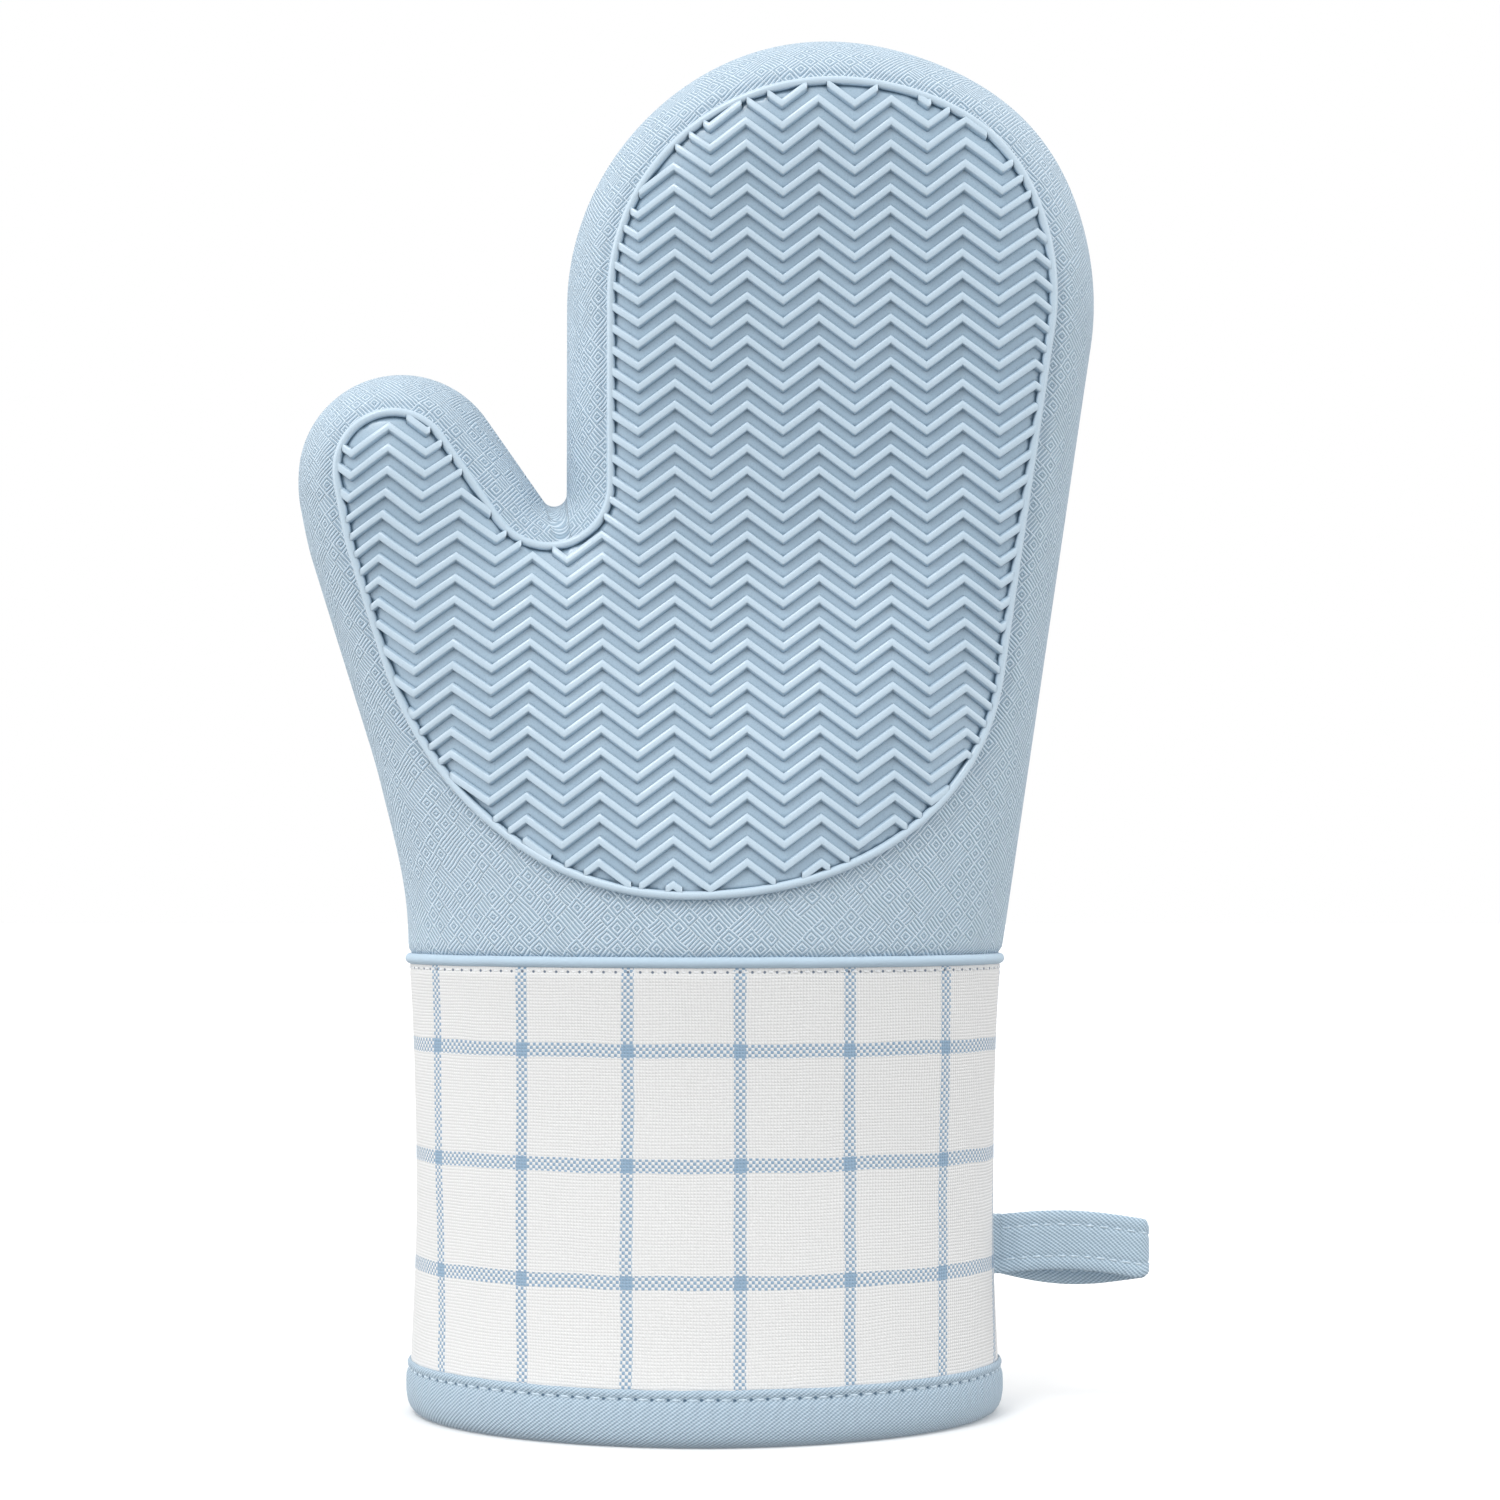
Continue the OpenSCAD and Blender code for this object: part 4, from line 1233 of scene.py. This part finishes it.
def stitch(centre, along, out, length, width, height):
    """One stitch: a plump bar whose ends dip into the cloth."""
    steps, sides = 7, 8
    k = np.linspace(-1, 1, steps)
    swell = np.sqrt(np.clip(1 - np.abs(k) ** 3, 0.02, 1))
    side = np.cross(along, out)
    centres = centre + np.outer(k * length / 2, along) + np.outer((swell - 1) * height, out)
    turn = np.linspace(0, 2 * math.pi, sides, endpoint=False)
    ring_points = (np.cos(turn)[:, None] * side * width / 2 + np.sin(turn)[:, None] * out * height / 2)
    points = (centres[:, None] + swell[:, None, None] * ring_points[None]).reshape(-1, 3)
    return points, flipped(tube_faces(steps, sides))


def stitch_row(z, inset, pitch, length, width, height):
    """Stitches all round the cuff at one height."""
    table_angle, run = round_lengths(z)
    count, _ = stitch_count(z, pitch)
    parts = []
    for i in range(count):
        at = (i + 0.5) * run[-1] / count
        angle = np.interp([at - 0.5, at, at + 0.5], run, table_angle)
        p = cuff_point(angle, np.full(3, z), inset)
        along = p[2] - p[0]
        along /= np.linalg.norm(along)
        out = np.cross(along, [0.0, 0.0, 1.0])
        tilt = along + np.array([0, 0, 0.05 * rng.uniform(-1, 1)])
        parts.append(stitch(p[1], tilt / np.linalg.norm(tilt), out, length, width, height))
    return join_parts(parts)


for name, args, material, node in (
        ("top_stitches", (TOP_STITCH_Z, 0.20, TOP_PITCH, 1.7, 0.5, 0.45), WHITE_THREAD,
         "cuff_topstitching"),
        ("hem_stitches", (HEM_H - 2.1, -0.55, HEM_STITCH, 2.6, 0.6, 0.6), BLUE_THREAD,
         "hem_stitching")):
    points, faces = stitch_row(*args)
    piece = make_object(name, points, faces, material)
    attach(piece, "hand_and_cuff")
    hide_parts(node)

# ---------- hanging loop ----------

TAPE_W = 0.97 * (LOOP_HIGH[2] - LOOP_LOW[2])
TAPE_T = 1.5
LOOP_Z = (LOOP_HIGH[2] + LOOP_LOW[2]) / 2 + 0.15
LOOP_X = LOOP_LOW[0] + 0.2
LOOP_REACH = 35.2
LOOP_GAP = 7.6
STITCH_Z = 3.75


def loop_middle(k):
    """Middle line of the tape, from the seam round the far end and back, with its droop."""
    a = math.pi * np.clip(k, 0, 1)
    s, c = np.sin(a), np.cos(a)
    reach = s ** 0.62
    x = LOOP_X + LOOP_REACH * reach
    y = -(LOOP_GAP / 2 + TAPE_T / 2) * s ** 0.55 * c * 1.25 - TAPE_T * 0.6 * c
    bow = np.sin(math.pi * np.clip(reach, 0, 1))
    z = LOOP_Z - 1.2 * reach ** 2 + mix(1.5, -2.9, ease((k - 0.42) / 0.16)) * bow
    return np.stack([x, y, z], 1)


def loop_frames(count):
    k = np.linspace(0, 1, count)
    fine = loop_middle(np.linspace(0, 1, 2001))
    run = np.concatenate([[0], np.cumsum(np.linalg.norm(np.diff(fine, axis=0), axis=1))])
    k = np.interp(np.linspace(0, run[-1], count), run, np.linspace(0, 1, 2001))
    at = loop_middle(k)
    at = np.concatenate([[[LOOP_X - 3.2, at[0, 1] * 0.9, at[0, 2]]], at,
                         [[LOOP_X - 3.2, at[-1, 1] * 0.9, at[-1, 2]]]])
    along = np.gradient(at, axis=0)
    along /= np.linalg.norm(along, axis=1)[:, None]
    up = np.tile([0.0, 0.0, 1.0], (len(at), 1))
    out = np.cross(along, up)
    out /= np.linalg.norm(out, axis=1)[:, None]
    up = np.cross(out, along)
    length = np.concatenate([[0], np.cumsum(np.linalg.norm(np.diff(at, axis=0), axis=1))])
    return at, along, up, out, length


def tape_section():
    """Outline of the folded tape: full edges and a shallow valley along each stitch row."""
    half = TAPE_W / 2
    across = np.linspace(-1, 1, 29)
    z = across * (half - 0.6)
    edge = np.sqrt(np.clip(1 - (np.abs(across)) ** 14, 0, 1)) * 0.25 + 0.75
    valley = sum(0.22 * np.exp(-((z - s) / 0.7) ** 2) for s in (-STITCH_Z, STITCH_Z))
    t = TAPE_T / 2 * edge - valley
    turn = np.linspace(-math.pi / 2, math.pi / 2, 7)[1:-1]
    tip = np.stack([half - 0.6 + 0.6 * np.cos(turn), -TAPE_T / 2 * 0.75 * np.sin(turn)], 1)
    outer = np.stack([z, t], 1)
    return np.concatenate([outer, tip, (outer * [1, -1])[::-1], (tip * [-1, -1])])


def strap():
    at, _, up, out, length = loop_frames(90)
    section = tape_section()
    wave = 0.12 * np.sin(length * 0.9) + 0.08 * np.sin(length * 1.7 + 1)
    soft = 1 - 0.12 * np.exp(-((LOOP_X + LOOP_REACH - at[:, 0]) / 0.9) ** 2)
    points = (at[:, None] + up[:, None] * section[None, :, :1] * soft[:, None, None]
              + out[:, None] * (section[None, :, 1:] + wave[:, None, None] * 0.6))
    n, m = points.shape[:2]
    cloth = np.stack([np.repeat(length, m), np.tile(section[:, 0], n)], 1)
    return points.reshape(-1, 3), tube_faces(n, m), cloth


def loop_stitches():
    at, along, up, out, length = loop_frames(400)
    parts = []
    pitch = 3.2
    for row in (-STITCH_Z, STITCH_Z):
        for face in (1, -1):
            for run in np.arange(5.2, length[-1] - 4.6, pitch):
                i = int(np.argmin(np.abs(length - run)))
                centre = at[i] + up[i] * row + out[i] * face * (TAPE_T / 2 - 0.16)
                parts.append(stitch(centre, along[i], out[i] * face, 2.4, 0.5, 0.42))
    return join_parts(parts)


def bend_loop(piece):
    hinge = next(j for j in frame["joints"] if j["name"] == "loop_swing")["pos_m"]
    hinge[0] - 0.002
    hinge[0] + 0.007
    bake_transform(piece)


points, faces, cloth = strap()
tape = make_object("loop_strap", points, faces, LOOP_TAPE, cloth)
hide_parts("hang_loop")
bend_loop(tape)
points, faces = loop_stitches()
seams = make_object("loop_stitch_rows", points, faces, BLUE_THREAD)
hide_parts("loop_stitching")
bend_loop(seams)

# ---------- CAD pieces that stay, with a finer finish ----------


def refinish(node, material):
    obj = frame["nodes"][node]
    obj.data.materials.clear()
    obj.data.materials.append(material)


refinish("piping_cord", CORE)
refinish("cuff_side_threads", BLUE_THREAD)
refinish("loop_tack_thread", BLUE_THREAD)


def tape_without_uv():
    """The tape's finish for the CAD block at the loop's ends, by its place instead of cloth lengths."""
    m = Paint("loop_tape_ends")
    fuzz = m.noise(m.place(), 1600.0, 4.0, 0.6)
    tone = m.mix(m.range(fuzz, 0.3, 0.7), TAPE_DARK, TAPE_LIGHT)
    return m.finish(tone, m.range(fuzz, 0.2, 0.8, 0.70, 0.85), fuzz, 0.1, sheen_weight=0.25)


refinish("loop_ends", tape_without_uv())

# ---------- floor, light, camera ----------


def floor_material():
    m = Paint("floor")
    tooth = m.noise(m.place(), 8.0, 3.0)
    tone = m.mix(m.range(tooth, 0.3, 0.7), (0.93, 0.93, 0.93), (0.94, 0.94, 0.94))
    return m.finish(tone, 0.9, tooth, 0.01)


FLOOR_HALF = 6000.0
corners = FLOOR_HALF * np.array([[-1, -1, 0], [1, -1, 0], [1, 1, 0], [-1, 1, 0]])
floor = make_object("floor", corners, [(0, 1, 2, 3)], floor_material())
floor.visible_diffuse = False


def backdrop():
    """A plain white dome behind everything, which gives no light of its own."""
    m = bpy.data.materials.new("backdrop")
    m.use_nodes = True
    m.node_tree.nodes.clear()
    glow = m.node_tree.nodes.new("ShaderNodeEmission")
    out = m.node_tree.nodes.new("ShaderNodeOutputMaterial")
    m.node_tree.links.new(glow.outputs[0], out.inputs[0])
    bm = bmesh.new()
    bmesh.ops.create_uvsphere(bm, u_segments=48, v_segments=24, radius=12.0)
    mesh = bpy.data.meshes.new("backdrop")
    bm.to_mesh(mesh)
    bm.free()
    mesh.materials.append(m)
    dome = bpy.data.objects.new("backdrop", mesh)
    bpy.context.scene.collection.objects.link(dome)
    for flag in ("visible_diffuse", "visible_glossy", "visible_transmission", "visible_shadow"):
        setattr(dome, flag, False)


backdrop()


def studio_world():
    """Soft light that is stronger from above than from below."""
    world = bpy.data.worlds.new("studio")
    bpy.context.scene.world = world
    world.use_nodes = True
    tree = world.node_tree
    sky = tree.nodes["Background"]
    sky.inputs[1].default_value = 1.0
    at = tree.nodes.new("ShaderNodeTexCoord")
    parts = tree.nodes.new("ShaderNodeSeparateXYZ")
    ramp = tree.nodes.new("ShaderNodeMapRange")
    tree.links.new(at.outputs["Generated"], parts.inputs[0])
    tree.links.new(parts.outputs[2], ramp.inputs["Value"])
    for key, value in (("From Min", -0.45), ("From Max", 0.5), ("To Min", 0.42), ("To Max", 1.17)):
        ramp.inputs[key].default_value = value
    tree.links.new(ramp.outputs[0], sky.inputs[0])


studio_world()


def sun(name, direction, strength, softness):
    data = bpy.data.lights.new(name, "SUN")
    data.energy = strength
    data.angle = math.radians(softness)
    light = bpy.data.objects.new(name, data)
    light.rotation_euler = (-Vector(direction)).to_track_quat("-Z", "Y").to_euler()
    bpy.context.scene.collection.objects.link(light)


sun("key", (-0.40, -0.62, 0.95), 0.80, 18.0)
sun("left_fill", (-1.0, -0.25, 0.20), 0.95, 50.0)
sun("right_fill", (1.0, -0.25, 0.20), 0.68, 50.0)

camera_data = bpy.data.cameras.new("camera")
camera_data.sensor_width = 36.0
camera_data.lens = 79.3
camera_data.clip_end = 50.0
camera = bpy.data.objects.new("camera", camera_data)
camera.location = (0.0109, -0.80, 0.132)
camera.rotation_euler = (math.radians(90 + 1.907), 0.0, 0.0)
bpy.context.scene.collection.objects.link(camera)
bpy.context.scene.camera = camera
bpy.context.scene.view_settings.view_transform = "Standard"
